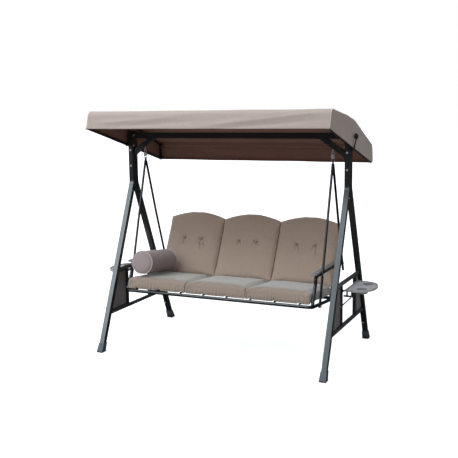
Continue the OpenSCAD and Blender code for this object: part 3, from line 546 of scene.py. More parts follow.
def rounded_box(size, radius):
    """Six grids that form a box with rounded edges, centred at the origin."""
    steps = 56
    half = np.array(size) / 2
    verts, faces = [], []
    line = np.linspace(-1, 1, steps)
    A, B = np.meshgrid(line, line, indexing="ij")
    for axis in range(3):
        for sign in (-1, 1):
            a, b = [i for i in range(3) if i != axis]
            side = np.zeros((steps * steps, 3))
            side[:, axis] = sign * half[axis]
            side[:, a] = A.ravel() * half[a]
            side[:, b] = B.ravel() * half[b]
            first = len(verts)
            verts += list(side)
            flip = (sign > 0) == (axis == 1)
            faces += [tuple(i + first for i in f) for f in grid_faces(steps, steps, flip=not flip)]
    points = np.array(verts)
    radius = np.minimum(radius, half.min() * 0.999)
    inner = np.clip(points, -(half - radius), half - radius)
    outward = points - inner
    length = np.linalg.norm(outward, axis=1)
    return inner + outward * (radius / np.maximum(length, 1e-9))[:, None], faces


# ------------------------------------------------------------------ shaping functions
def smooth_noise(points, scale, seed):
    """Smooth, repeatable noise of roughly -1..1, from summed sines in random directions."""
    rng = np.random.default_rng(int(seed * 1000) + 7)
    total = np.zeros(len(points))
    for _ in range(7):
        way = rng.normal(size=3)
        way /= np.linalg.norm(way)
        total += np.sin(points @ way * scale * rng.uniform(0.6, 1.5) + rng.uniform(0, 6.28))
    return total / 3.2


def refit(values, low, high):
    """Stretches a column of coordinates onto the span the part is meant to fill."""
    a, b = values.min(), values.max()
    return low + (values - a) * (high - low) / (b - a)


def press(x, limit, soft):
    """Holds |x| under the limit, easing in over the last stretch."""
    size = np.abs(x)
    over = np.maximum(size - (limit - soft), 0)
    eased = limit - soft + soft * np.tanh(over / soft)
    return np.sign(x) * np.where(size > limit - soft, eased, size)


def smooth_step(x, a, b):
    t = np.clip((x - a) / (b - a), 0, 1)
    return t * t * (3 - 2 * t)


def bell(x, width):
    return np.exp(-(x / width) ** 2)


def wave(x, pitch, phase=0.0):
    return np.sin(x * 2 * pi / pitch + phase)


def crease_axes(co, x, y, angle):
    """Distances along and across a line that leaves (x, y) at an angle."""
    along = (co[:, 0] - x) * cos(angle) + (co[:, 1] - y) * sin(angle)
    across = (co[:, 0] - x) * sin(angle) - (co[:, 1] - y) * cos(angle)
    return along, across


# ------------------------------------------------------------------ cloth
CLOTH_FRAMES = 20
CLOTH_TENSION = 18.0
CLOTH_BENDING = 0.6


def inflate(ob, pressure, cap, pin=None):
    """Swells a mesh as cloth under inner pressure; movement is capped and pinned parts stay."""
    rest = coords(ob.data)
    cloth = ob.modifiers.new("cloth", "CLOTH")
    settings = cloth.settings
    settings.quality = 4
    settings.mass = 0.25
    settings.tension_stiffness = settings.compression_stiffness = CLOTH_TENSION
    settings.shear_stiffness = CLOTH_TENSION * 0.4
    settings.bending_stiffness = CLOTH_BENDING
    settings.air_damping = 2.0
    settings.use_pressure = True
    settings.uniform_pressure_force = pressure
    settings.effector_weights.gravity = 0.0
    cloth.collision_settings.use_collision = False
    cloth.collision_settings.use_self_collision = False
    if pin is not None:
        group = ob.vertex_groups.new(name="pin")
        weights = pin(rest)
        for i in np.nonzero(weights > 0.01)[0]:
            group.add([int(i)], float(weights[i]), "REPLACE")
        settings.vertex_group_mass = "pin"
    cloth.point_cache.frame_start = 1
    cloth.point_cache.frame_end = CLOTH_FRAMES
    for f in range(1, CLOTH_FRAMES + 1):
        scene.frame_set(f)
    depsgraph = bpy.context.evaluated_depsgraph_get()
    swollen = coords(ob.evaluated_get(depsgraph).data)
    ob.modifiers.clear()
    ob.vertex_groups.clear()
    scene.frame_set(1)
    move = np.nan_to_num(swollen - rest)
    length = np.linalg.norm(move, axis=1)
    move *= (cap * np.tanh(length / cap) / np.maximum(length, 1e-9))[:, None]
    set_coords(ob, rest + move)


def plump(ob, pressure, cap, pin=None, voxel=0.006):
    """Remeshes a blank evenly, inflates it, then smooths it."""
    modify(ob, "REMESH", mode="VOXEL", voxel_size=voxel, use_smooth_shade=True)
    inflate(ob, pressure, cap, pin)
    modify(ob, "SMOOTH", factor=0.4, iterations=2)
    modify(ob, "SUBSURF", levels=1, render_levels=1)


# ------------------------------------------------------------------ seat cushions
# Cushion frame: X across, Y from front to rear, Z out of the top; the cushion falls to the rear.
SEAT_LENGTH = 0.496
SEAT_THICKNESS = 0.090
SEAT_FALL = atan(0.095)
SEAT_Y = Vector((0, cos(SEAT_FALL), -sin(SEAT_FALL)))
SEAT_Z = Vector((0, sin(SEAT_FALL), cos(SEAT_FALL)))


def front_slat_places():
    """Centre X of each seat slat, read near the front edge."""
    points = cad_points("seat_slats")
    xs = np.sort(points[points[:, 1] < -0.30][:, 0])
    cuts = np.r_[0, np.nonzero(np.diff(xs) > 0.02)[0] + 1, len(xs)]
    return [float(xs[a:b].min() + xs[a:b].max()) / 2 for a, b in zip(cuts[:-1], cuts[1:])]


SLAT_X = front_slat_places()


def seat_blank(name, width, matrix):
    """Rounded box with a crown, a lowered front and slightly drawn-in sides."""
    size = (width - 0.005, SEAT_LENGTH - 0.008, 0.076)
    P, faces = rounded_box(size, radius=0.013)
    P[:, 1] += SEAT_LENGTH / 2
    P[:, 2] += size[2] / 2 + 0.001
    u = P[:, 0] / (size[0] / 2)
    v = (P[:, 1] - SEAT_LENGTH / 2) / (size[1] / 2)
    top = smooth_step(P[:, 2], 0.012, 0.074)
    crown = (1 - np.abs(u) ** 3.2) * (1 - np.abs(v) ** 3.4)
    P[:, 2] += top * (0.010 * crown - 0.011 * np.clip((0.055 - P[:, 1]) / 0.055, 0, 1) ** 2)
    P[:, 0] -= np.sign(u) * 0.003 * (1 - v ** 2) * smooth_step(np.abs(u), 0.8, 1.0)
    P[:, 1] -= np.sign(v) * 0.002 * (1 - u ** 2) * smooth_step(np.abs(v), 0.8, 1.0)
    ob = make(name, P, faces, M["seat"], matrix=matrix)
    modify(ob, "WELD", merge_threshold=0.0004)
    return ob


def seat_wrinkles(co, normal, i):
    """Outward displacement: gathers, seam, dents and creases."""
    rng = np.random.default_rng(11 + i)
    phase = rng.uniform(0, 6.28, 6)
    front = smooth_step(-normal[:, 1], 0.35, 0.85)
    side = smooth_step(np.abs(normal[:, 0]), 0.35, 0.85)
    top = smooth_step(normal[:, 2], 0.5, 0.9)

    def gathers(t):
        fine = wave(t, 0.0165, 1.3 * wave(t, 0.091, phase[0]) + phase[1])
        coarse = wave(t, 0.027, 1.1 * wave(t, 0.13, phase[2]) + phase[3])
        swell = 0.5 + 0.5 * wave(t, 0.21, phase[4])
        return (0.55 * fine + 0.6 * coarse) * (0.35 + 0.65 * swell)

    # Upright folds, deepest low on the front and sides.
    height = np.clip(co[:, 2] / 0.075, 0, 1)
    depth = 0.0034 * bell(height - 0.18, 0.46)
    out = front * depth * gathers(co[:, 0]) + side * depth * 0.8 * gathers(co[:, 1] + 0.3)
    # Lower seam: a narrow groove round the box.
    seam_z = 0.0135
    out -= (front + side).clip(0, 1) * 0.0022 * bell(co[:, 2] - seam_z, 0.0030)
    # Top: shallow dents and five soft creases in the front part.
    out += top * 0.0016 * smooth_noise(co, scale=22.0, seed=1.1 + i)
    for k in range(5):
        x, y = rng.uniform(-0.16, 0.16), rng.uniform(0.03, 0.16)
        angle = rng.uniform(-0.5, 0.5) + (pi / 2 if k % 2 else 0.0)
        along, across = crease_axes(co, x, y, angle)
        out -= top * 0.0011 * bell(across, 0.007) * bell(along, 0.055)
    return out


def seat_cushion(i, cad_name):
    """i is -1, 0 or 1 from left to right."""
    lo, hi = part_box(cad_name)
    width = hi.x - lo.x
    origin = Vector(((lo.x + hi.x) / 2, lo.y, hi.z - SEAT_THICKNESS * cos(SEAT_FALL)))
    ob = seat_blank("soft_" + cad_name, width, basis(origin, (1, 0, 0), SEAT_Y, SEAT_Z))
    plump(ob, pressure=3.2, cap=0.010, pin=lambda c: smooth_step(-c[:, 2], -0.012, -0.004))
    co, normal = coords(ob.data), normals(ob.data)
    # The two outer cushions bulge more on their free side.
    left_bulge, right_bulge = (0.009 if i < 0 else 0.007), (0.009 if i > 0 else 0.007)
    co[:, 0] = refit(co[:, 0], -width / 2 - left_bulge, width / 2 + right_bulge)
    co[:, 1] = refit(co[:, 1], 0.0, SEAT_LENGTH + 0.010)
    co[:, 2] = refit(co[:, 2], 0.0, 0.0915)
    co = co + normal * seat_wrinkles(co, normal, i)[:, None]
    # Neighbours lie flat against each other; the free sides reach 3 mm further.
    free = (co[:, 0] * i > 0) * 0.003
    co[:, 0] = press(co[:, 0], width / 2 + 0.0006 + free, soft=0.006)
    co[:, 2] = np.maximum(co[:, 2], 0.0005 + 0.0004 * np.sin(co[:, 0] * 40))
    # The lower front edge rolls down, except where it rests on the slats.
    clear = np.ones(len(co))
    for slat in SLAT_X:
        clear *= 1 - bell(co[:, 0] + origin.x - slat, 0.015)
    low = 1 - smooth_step(co[:, 2], 0.0, 0.045)
    co[:, 2] -= 0.012 * bell(np.maximum(co[:, 1], 0), 0.030) * low * clear
    set_coords(ob, co)
    attach("seat", "seat_fabric", ob)
    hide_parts(cad_name)


PLACES = {-1: "left", 0: "centre", 1: "right"}
for i, place in PLACES.items():
    seat_cushion(i, "seat_cushion_" + place)


# ------------------------------------------------------------------ back cushions
# Cushion frame: X across, Y up the raked back, Z out of the front face.
BACK_RAKE = 0.525                    # run to the rear for each unit of rise
BACK_UP = Vector((0, BACK_RAKE, 1)).normalized()
BACK_OUT = Vector((1, 0, 0)).cross(BACK_UP).normalized()
BACK_THICKNESS = 0.064
ARCH_RADIUS = 0.555                  # arched top edge, centred below the cushion's lower edge
ARCH_CENTRE = -0.007
BUTTON_X = 0.076                     # two buttons, at +-X
BUTTON_Y = 0.305
# Button profile: (radius, height).
BUTTON_PROFILE = [(0.0122, 0.0), (0.0128, 0.0016), (0.0122, 0.0034),
                  (0.0100, 0.0048), (0.0068, 0.0057), (0.0030, 0.0062)]
# Folds that leave the buttons, by cushion: (button side, direction in degrees, length, depth).
FOLDS = {
    -1: [(-1, -100, 0.070, 1.0), (-1, -128, 0.055, 0.8), (-1, -60, 0.060, 0.7),
         (-1, 25, 0.030, 0.5), (-1, 150, 0.030, 0.5), (-1, 90, 0.030, 0.4),
         (1, -84, 0.100, 1.2), (1, -52, 0.085, 1.1), (1, -122, 0.060, 0.9),
         (1, 35, 0.035, 0.6), (1, 150, 0.030, 0.5), (1, -100, 0.060, 0.6)],
    0: [(-1, -110, 0.045, 0.8), (-1, -50, 0.050, 0.8), (-1, 40, 0.035, 0.6),
        (-1, 140, 0.030, 0.5), (-1, 178, 0.030, 0.5), (-1, 90, 0.040, 0.4),
        (1, -95, 0.045, 0.8), (1, -45, 0.050, 0.7), (1, 30, 0.030, 0.5),
        (1, 150, 0.040, 0.6), (1, -135, 0.045, 0.7)],
    1: [(-1, -62, 0.095, 1.1), (-1, -100, 0.055, 0.8), (-1, 30, 0.040, 0.6),
        (-1, 150, 0.035, 0.6), (-1, -140, 0.050, 0.6),
        (1, -75, 0.100, 1.2), (1, -50, 0.070, 0.9), (1, -115, 0.060, 0.8),
        (1, 40, 0.030, 0.5), (1, 160, 0.030, 0.5)],
}


def back_blank(name, width, matrix):
    """Two domed sheets under an arched outline, joined round the rim."""
    cols, rows = 84, 96
    U, V = np.meshgrid(np.linspace(-1, 1, cols), np.linspace(0, 1, rows), indexing="ij")
    X = U * (width / 2 - 0.0015)
    # Rounded lower corners, and an arched top with rounded ends.
    bottom = -0.001 + 0.010 * np.clip((np.abs(U) - 0.94) / 0.06, 0, 1) ** 2.2
    arch = ARCH_CENTRE + np.sqrt(np.maximum((ARCH_RADIUS - 0.002) ** 2 - X ** 2, 0))
    top = arch - 0.012 * np.clip((np.abs(U) - 0.95) / 0.05, 0, 1) ** 2.0
    Y = bottom + (top - bottom) * V
    # The sides draw in slightly between the corners.
    near_side = np.clip((np.abs(U) - 0.7) / 0.3, 0, 1)
    X = X - np.sign(U) * 0.0015 * (1 - (2 * V - 1) ** 2) * near_side
    fall_x = np.clip(1 - np.abs(U) ** 5.0, 0, 1)
    fall_y = np.clip(1 - np.abs(2 * V - 1) ** 6.0, 0, 1)
    body = (fall_x * fall_y) ** 0.42
    front = -0.026 + 0.020 * body + 0.0035 * body * (1 - U ** 2)
    rear = -0.047 - 0.010 * body ** 0.8
    sheets = [np.stack([X, Y, Z], -1).reshape(-1, 3) for Z in (front, rear)]
    faces = grid_faces(cols, rows, flip=True)
    faces += [tuple(k + cols * rows for k in f) for f in grid_faces(cols, rows)]
    faces += rim_faces(cols, rows)
    return make(name, np.concatenate(sheets), faces, M["back"], matrix=matrix)


def back_wrinkles(co, width, i):
    """Displacement of the front face: button dimples, folds and edge gathers."""
    out = np.zeros(len(co))
    for side in (-1, 1):
        r = np.hypot(co[:, 0] - side * BUTTON_X, co[:, 1] - BUTTON_Y)
        out -= 0.0125 * bell(r, 0.017) + 0.0055 * bell(r, 0.046)
    for side, degrees, length, depth in FOLDS[i]:
        length *= 1.2
        along, across = crease_axes(co, side * BUTTON_X, BUTTON_Y, radians(degrees))
        # A slow wander that grows outwards; the direction's number only varies its phase.
        across = across + 0.10 * np.clip(along, 0, 1) * np.sin(along * 34 + degrees)
        reach = smooth_step(along, 0.004, 0.018)
        reach = reach * (1 - smooth_step(along, length * 0.45, length))
        groove = 0.0056 + 0.055 * np.clip(along, 0, 0.1)
        ridges = sum(bell(across - k * 1.9 * groove, 1.3 * groove) for k in (1, -1))
        out += depth * reach * (-0.0056 * bell(across, groove) + 0.0042 * ridges)
    out += 0.0013 * smooth_noise(co, scale=19.0, seed=2.2 + i)
    # Gathers along the lower edge and slack lines across both sides.
    lower = wave(co[:, 0], 0.031, 1.2 * np.sin(co[:, 0] * 41 + i)) * bell(co[:, 1], 0.045)
    out += 0.0012 * lower
    near_side = smooth_step(np.abs(co[:, 0]) / (width / 2), 0.80, 0.93)
    out += 0.0010 * wave(co[:, 1], 0.047, 1.5 * np.sin(co[:, 1] * 29 + i * 2)) * near_side
    return out


def back_button(x, z):
    """A covered button with its foot at height z."""
    sides = 28
    verts = []
    for radius, height in BUTTON_PROFILE:
        for k in range(sides):
            a = 2 * pi * k / sides
            # The cloth puckers round the wide lower rings.
            r = radius * (1 + 0.02 * sin(9 * a) * (radius > 0.009))
            verts.append((x + r * cos(a), BUTTON_Y + r * sin(a), z + height))
    rings = len(BUTTON_PROFILE)
    faces = grid_faces(rings, sides, wrap_cols=True)
    faces.append(tuple((rings - 1) * sides + k for k in range(sides)))
    faces.append(tuple(range(sides))[::-1])
    return verts, faces


def back_cushion(i, cad_name):
    """Builds one cushion and returns its pair of buttons."""
    lo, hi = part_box(cad_name)
    width = hi.x - lo.x
    origin = Vector(((lo.x + hi.x) / 2, lo.y, lo.z + BACK_THICKNESS * abs(BACK_OUT.z)))
    matrix = basis(origin, (1, 0, 0), BACK_UP, BACK_OUT)
    ob = back_blank("soft_" + cad_name, width, matrix)
    plump(ob, pressure=3.0, cap=0.009, pin=lambda c: smooth_step(-c[:, 2], 0.048, 0.055) * 0.9)
    co, normal = coords(ob.data), normals(ob.data)
    co[:, 0] = refit(co[:, 0], -width / 2 - 0.008, width / 2 + 0.008)
    co[:, 1] = refit(co[:, 1], -0.010, ARCH_RADIUS + ARCH_CENTRE + 0.0015)
    co[:, 2] += (0.003 - co[:, 2].max()) * smooth_step(co[:, 2], -0.045, -0.012)
    front = smooth_step(normal[:, 2], 0.05, 0.5)
    co = co + normal * (back_wrinkles(co, width, i) * front)[:, None]
    # Edge seam: a narrow draw-in all round the outline.
    seam = bell(co[:, 2] + 0.036, 0.0028) * (1 - np.abs(normal[:, 2]))
    co = co - normal * (0.0020 * seam)[:, None]
    co[:, 2] = np.maximum(co[:, 2], -0.0636)
    co[:, 0] = press(co[:, 0], width / 2 + 0.0004, soft=0.006)
    set_coords(ob, co)
    attach("seat", "seat_fabric", ob)
    # The buttons sit in the bottom of the dimples.
    face = co[front > 0.5]
    parts = []
    for x in (-BUTTON_X, BUTTON_X):
        near = face[np.hypot(face[:, 0] - x, face[:, 1] - BUTTON_Y) < 0.006]
        z = float(near[:, 2].mean()) - 0.0012 if len(near) else -0.02
        parts.append(back_button(x, z))
    buttons = make(ob.name + "_buttons", *merge(parts), M["button"], matrix=matrix)
    attach("seat", "seat_fabric", buttons)
    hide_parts(cad_name)
    return buttons


for buttons in [back_cushion(i, "back_cushion_" + place) for i, place in PLACES.items()]:
    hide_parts("back_buttons")


# ------------------------------------------------------------------ bolster
# Bolster frame: Y runs along the roll from front to rear, X across, Z up.
BOLSTER_RADIUS = 0.090
BOLSTER_LENGTH = 0.416
BOLSTER_FALL = radians(7.5)
BOLSTER_BODY = BOLSTER_RADIUS - 0.0015        # radius at the piping
BOLSTER_REST = -BOLSTER_RADIUS + 0.0040       # height below which the roll is flattened


def bolster_profile():
    """Stations (y, radius): domed end, body, domed end."""
    length, body = BOLSTER_LENGTH, BOLSTER_BODY
    steps, body_steps = 12, 41

    def dome(t):
        return 0.002 + (body - 0.004) * sin(t * pi / 2)

    ends = [k / steps for k in range(steps + 1)]
    profile = [(-0.010 + 0.020 * t ** 2.2, dome(t)) for t in ends]
    for k in range(1, body_steps):
        t = k / body_steps
        profile.append((0.010 + (length - 0.020) * t, body - 0.001 + 0.0035 * sin(pi * t) ** 0.5))
    return profile + [(length + 0.004 - 0.014 * t ** 2.2, dome(t)) for t in ends[::-1]]


def bolster_blank(matrix):
    sides = 144
    profile = bolster_profile()
    angles = [2 * pi * j / sides for j in range(sides)]
    verts = [(r * cos(a), y, r * sin(a)) for y, r in profile for a in angles]
    faces = grid_faces(len(profile), sides, wrap_cols=True, flip=True)
    faces.append(tuple(range(sides)))
    faces.append(tuple((len(profile) - 1) * sides + j for j in range(sides))[::-1])
    return make("soft_bolster", verts, faces, M["bolster"], matrix=matrix)


def wrinkle_bolster(co):
    """Radial gathers by the piping, creased domes, and a flat where the roll rests."""
    length, body = BOLSTER_LENGTH, BOLSTER_BODY
    r = np.hypot(co[:, 0], co[:, 2])
    a = np.arctan2(co[:, 2], co[:, 0])
    y = co[:, 1]
    by_piping = bell(y - 0.008, 0.022) + bell(y - length + 0.010, 0.022)
    side = smooth_step(r, body * 0.80, body * 0.95)
    out = side * 0.0011 * by_piping * np.sin(a * 46 + 2.0 * np.sin(a * 5))
    out += 0.0012 * side * smooth_noise(co, scale=26.0, seed=3.3)
    radial = np.stack([co[:, 0], np.zeros(len(co)), co[:, 2]], 1) / np.maximum(r, 1e-6)[:, None]
    co = co + radial * out[:, None]
    # Creases on the domed ends, running in from the piping.
    ends = smooth_step(-y, -0.010, 0.004) + smooth_step(y, length - 0.012, length - 0.001)
    share = np.clip(r / body, 0, 1)
    crease = np.sin(a * 34 + 1.5 * np.sin(3 * a))
    crease = crease * smooth_step(share, 0.55, 0.9) * (1 - smooth_step(share, 0.95, 1.0))
    dents = smooth_noise(co, scale=40.0, seed=4.4) * (1 - share ** 2)
    co[:, 1] += ends * np.where(y < 0.1, -1, 1) * (0.0020 * crease + 0.0034 * dents)
    low = co[:, 2] < BOLSTER_REST
    co[low, 2] = BOLSTER_REST + (co[low, 2] - BOLSTER_REST) * 0.15
    return co


def bolster_cord(y):
    """A closed piping cord, kept clear of the resting surface."""
    sides, radius = 120, BOLSTER_BODY + 0.0006
    angles = [2 * pi * k / sides for k in range(sides)]
    ring = [(radius * cos(a), y, max(radius * sin(a), BOLSTER_REST + 0.002)) for a in angles]
    return sweep(ring, 0.0042, 8, closed=True, up=(0, 1, 0))


def bolster_stitch(angle):
    radius = BOLSTER_BODY + 0.0030
    places = np.linspace(0.03, BOLSTER_LENGTH - 0.03, 60)
    return stitch_run([(radius * cos(angle), y, radius * sin(angle)) for y in places])


def bolster():
    lo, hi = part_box("bolster")
    fall, radius = BOLSTER_FALL, BOLSTER_RADIUS
    # The box starts at the lower rim of the tilted end: step back to the end's centre.
    origin = Vector(((lo.x + hi.x) / 2, lo.y + radius * sin(fall), hi.z - radius * cos(fall)))
    matrix = basis(origin, (1, 0, 0), Vector((0, cos(fall), -sin(fall))),
                   Vector((0, sin(fall), cos(fall))))
    ob = bolster_blank(matrix)
    plump(ob, pressure=2.2, cap=0.006, voxel=0.0055)
    co = coords(ob.data)
    co[:, 1] = refit(co[:, 1], -0.010, BOLSTER_LENGTH + 0.010)
    co[:, [0, 2]] *= (radius + 0.0015) / np.hypot(co[:, 0], co[:, 2]).max()
    set_coords(ob, wrinkle_bolster(co))
    cords = [bolster_cord(y) for y in (0.0075, BOLSTER_LENGTH - 0.0085)]
    piping = make("bolster_piping_cords", *merge(cords), M["piping"], matrix=matrix)
    # Two rows of stitches along the -X side, above mid-height.
    rows = [bolster_stitch(radians(degrees)) for degrees in (158, 166)]
    stitches = make("bolster_stitches", *merge(rows), M["thread"], matrix=matrix)
    attach("seat", "bolster_fabric", ob, piping, stitches)
    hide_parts("bolster")


bolster()


# ------------------------------------------------------------------ canopy (millimetres)
# The cover is drawn in a frame at the pivot: x across, u from front to rear, w up.
# s is the length along the profile from the front hem.
PIVOT = Vector((0, -0.0192, 1.580))      # metres
CANOPY_MATRIX = Matrix.Translation(PIVOT) @ Matrix.Rotation(-CANOPY_LEAN, 4, "X")
HALF_WIDTH = 947.0
END_ROUND = 9.0                          # quarter round between the top and each end panel
FRONT_U, REAR_U, FOOT_W = -588, 561, -4
RIDGE_U = -22
# Cover profile (u, w), and the radius at each inner corner.
COVER = [(FRONT_U, FOOT_W), (-588, 133), (-222, 179), (RIDGE_U, 190),
         (519, 128), (571, 23), (REAR_U, FOOT_W)]
COVER_RADII = [45, 240, 420, 40, 20]
# Soft ridges in the cloth: (x0, s0, x1, s1, width, height); s is taken from the nearer hem.
FRONT_FOLDS = [
    (20, 22, 890, 112, 15, 7.0), (140, 2, 900, 62, 13, -4.2),
    (-890, 40, -120, 92, 15, 5.6), (-760, 14, 0, 58, 13, -3.6),
    (260, 66, 930, 158, 12, 3.2), (-500, 96, 250, 128, 12, 2.6),
]
REAR_FOLDS = [(-60, 26, -880, 112, 17, 3.8), (100, 20, 860, 92, 15, -2.4)]


def rounded_profile(points, radii):
    steps = 10
    points = [np.array(p, float) for p in points]
    outline = [points[0]]
    for before, corner, after, radius in zip(points, points[1:], points[2:], radii):
        d1 = (corner - before) / np.linalg.norm(corner - before)
        d2 = (after - corner) / np.linalg.norm(after - corner)
        angle = acos(np.clip(d1 @ d2, -1, 1))
        start = corner - radius * tan(angle / 2) * d1
        inward = d2 - (d1 @ d2) * d1
        inward /= np.linalg.norm(inward)
        centre = start + radius * inward
        for k in range(steps + 1):
            a = angle * k / steps
            outline.append(centre - radius * inward * cos(a) + radius * d1 * sin(a))
    outline.append(points[-1])
    return np.array(outline)


def resample(points, step):
    """Evenly spaced points, and the length to each."""
    lengths = lengths_along(points)
    even = np.linspace(0, lengths[-1], int(lengths[-1] / step) + 1)
    return points_at(points, lengths, even), even


profile, profile_s = resample(rounded_profile(COVER, COVER_RADII), step=7.5)
STATIONS = len(profile)
PROFILE_LENGTH = profile_s[-1]
tangents = np.gradient(profile, axis=0)
tangents /= np.linalg.norm(tangents, axis=1)[:, None]
outward = np.stack([-tangents[:, 1], tangents[:, 0]], 1)


def fold(x, s, x0, s0, x1, s1, width, height):
    """A soft ridge in the cloth from one point to another, fading at both ends."""
    dx, ds = x1 - x0, s1 - s0
    length = np.hypot(dx, ds)
    along = ((x - x0) * dx + (s - s0) * ds) / length
    across = ((x - x0) * ds - (s - s0) * dx) / length
    start = smooth_step(along, -0.15 * length, 0.25 * length)
    end = 1 - smooth_step(along, 0.7 * length, 1.12 * length)
    return height * bell(across, width) * start * end


def sheet_offset(x, k):
    """How far the cloth lies outside profile point k at the widths x."""
    u, w = profile[k]
    s = profile_s[k]
    rear_s = PROFILE_LENGTH - s
    inside = 1 - np.abs(x / HALF_WIDTH) ** 8
    # Sag between the front edge and the ridge, and between the ridge and the rear edge.
    front = np.clip((u + 560) / 538, 0, 1)
    rear = np.clip((u - RIDGE_U) / 532, 0, 1)
    out = -11.0 * inside * (4 * front * (1 - front)) ** 0.8 * (u < RIDGE_U)
    out += -9.0 * inside * (4 * rear * (1 - rear)) ** 0.8 * (u >= RIDGE_U) * (u < 515)
    # Hanging valances: slow waves, strongest at the free hem.
    hang = max(0.0, 1 - s / 120)
    out += hang * inside * (2.2 * np.sin(x / 118.0 + 0.6) * np.sin(x / 310.0 + 1.0) - 1.5)
    hang = max(0.0, 1 - rear_s / 110)
    out += hang * inside * (2.6 * np.sin(x / 104.0 + 2.1) * np.sin(x / 270.0) - 1.5)
    if s < 230:
        for row in FRONT_FOLDS:
            out += fold(x, s, *row)
    if rear_s < 220:
        for row in REAR_FOLDS:
            out += fold(x, rear_s, *row)
    # Tension lines running in from the four upper corners and near the ridge.
    for side in (-1, 1):
        out += fold(x, s, side * 930, 175, side * 520, 420, width=22, height=2.2)
        out += fold(x, rear_s, side * 930, 160, side * 560, 420, width=22, height=2.0)
        out += fold(x, s, side * 925, 640, side * 610, 690, width=16, height=1.6)
    # Small ripples beside the end seams, and unevenness all over.
    out += 0.9 * np.sin(x / 46.0 + s / 90.0) * bell(np.abs(x) - 900, 70)
    places = np.stack([x, np.full_like(x, u), np.full_like(x, w)], 1)
    out += 0.7 * smooth_noise(places, scale=0.012, seed=5.5)
    # Doubled hem along both free edges, with a slight dip above it.
    for from_hem in (s, rear_s):
        if from_hem < 24:
            out += 1.1
        elif from_hem < 32:
            out -= 0.5
    return out


def sheet_point(x, k, lift):
    """(u, w) of a point held off the cloth by a lift."""
    return profile[k] + outward[k] * (sheet_offset(np.array([x]), k)[0] + lift)


def metres(x, point):
    return (x * MM, point[0] * MM, point[1] * MM)


def nearest_station(s):
    return int(np.argmin(np.abs(profile_s - s)))


def end_panel(side, k, edge):
    """Points of one row from the top sheet's edge, over the quarter round, to the foot."""
    round_steps, panel_steps = 5, 16
    point, normal, share = profile[k], outward[k], profile_s[k] / PROFILE_LENGTH
    column = []
    for a in range(1, round_steps + 1):
        turn = a / round_steps * pi / 2
        u, w = point + normal * (edge - END_ROUND + END_ROUND * cos(turn))
        column.append((side * (HALF_WIDTH - END_ROUND + END_ROUND * sin(turn)), u, w))
    # A little of the profile length keeps the foot points apart where the profile is upright.
    span = REAR_U - FRONT_U
    across = np.clip((point[0] - FRONT_U) / span, 0, 1)
    foot = np.array([FRONT_U + span * (0.15 * share + 0.85 * across), FOOT_W])
    base = point - normal * END_ROUND
    for t in range(1, panel_steps + 1):
        f = t / panel_steps
        u, w = base * (1 - f) + foot * f
        slack = -2.2 * sin(pi * f) ** 0.8 * sin(pi * share)
        slack += 0.9 * sin(u / 90.0 + w / 60.0) * sin(pi * f)
        hem = 0.7 if w < 18 and 0.02 < share < 0.98 else 0.0
        # The left panel flares out towards its lower front corner.
        flare = 9.0 * f ** 1.5 * smooth_step(-u, 250.0, 570.0) if side < 0 else 0.0
        column.append((side * (HALF_WIDTH + slack + hem + flare), u, w))
    return column


def canopy_cover():
    xs = np.linspace(-(HALF_WIDTH - END_ROUND), HALF_WIDTH - END_ROUND, 150)
    rows = []
    for k in range(STATIONS):
        offsets = sheet_offset(xs, k)
        top = [(x, *(profile[k] + outward[k] * offset)) for x, offset in zip(xs, offsets)]
        rows.append(end_panel(-1, k, offsets[0])[::-1] + top + end_panel(1, k, offsets[-1]))
    verts = np.array(rows).reshape(-1, 3) * MM
    cover = make("canopy_cover_cloth", verts, grid_faces(STATIONS, len(rows[0])),
                 [M["canopy"], M["canopy_in"]], matrix=CANOPY_MATRIX, bake=True)
    modify(cover, "WELD", merge_threshold=0.0003)
    # The inner faces take the darker underside copy of the cloth, painted shade.
    modify(cover, "SOLIDIFY", thickness=0.0016, offset=-1, material_offset=1,
           use_even_offset=False)
    attach("canopy", "canopy_fabric", cover)
    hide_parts("canopy_cover")


def arch_piping():
    """Cords along the arch seam of each end."""
    cords = []
    for side in (-1, 1):
        x, seam = side * (HALF_WIDTH - 2.0), side * (HALF_WIDTH - END_ROUND)
        path = [metres(x, sheet_point(seam, k, lift=-1.0)) for k in range(0, STATIONS, 2)]
        cords.append(sweep(path, 0.0024, 8, up=(1, 0, 0)))
    return make("canopy_arch_piping", *merge(cords), M["canopy_edge"],
                matrix=CANOPY_MATRIX, bake=True)


def canopy_stitches():
    """Twin rows beside each arch seam, one low on each end, two along each free hem."""
    paths = []
    for side in (-1, 1):
        for inset in (20.0, 27.0):
            x = side * (HALF_WIDTH - inset)
            stations = range(2, STATIONS - 2)
            paths.append([metres(x, sheet_point(x, k, lift=0.35)) for k in stations])
        x = side * (HALF_WIDTH + 1.35)
        paths.append([metres(x, (u, 17.5)) for u in np.linspace(-570, 548, 60)])
    for from_hem in (21.0, 4.0):
        for s in (from_hem, PROFILE_LENGTH - from_hem):
            k = nearest_station(s)
            xs = np.linspace(-915, 915, 200)
            paths.append([metres(x, sheet_point(x, k, lift=0.3)) for x in xs])
    runs = [stitch_run(path, pitch=0.0066, length=0.0045, radius=0.0005) for path in paths]
    return make("canopy_stitches", *merge(runs), M["thread"], matrix=CANOPY_MATRIX, bake=True)


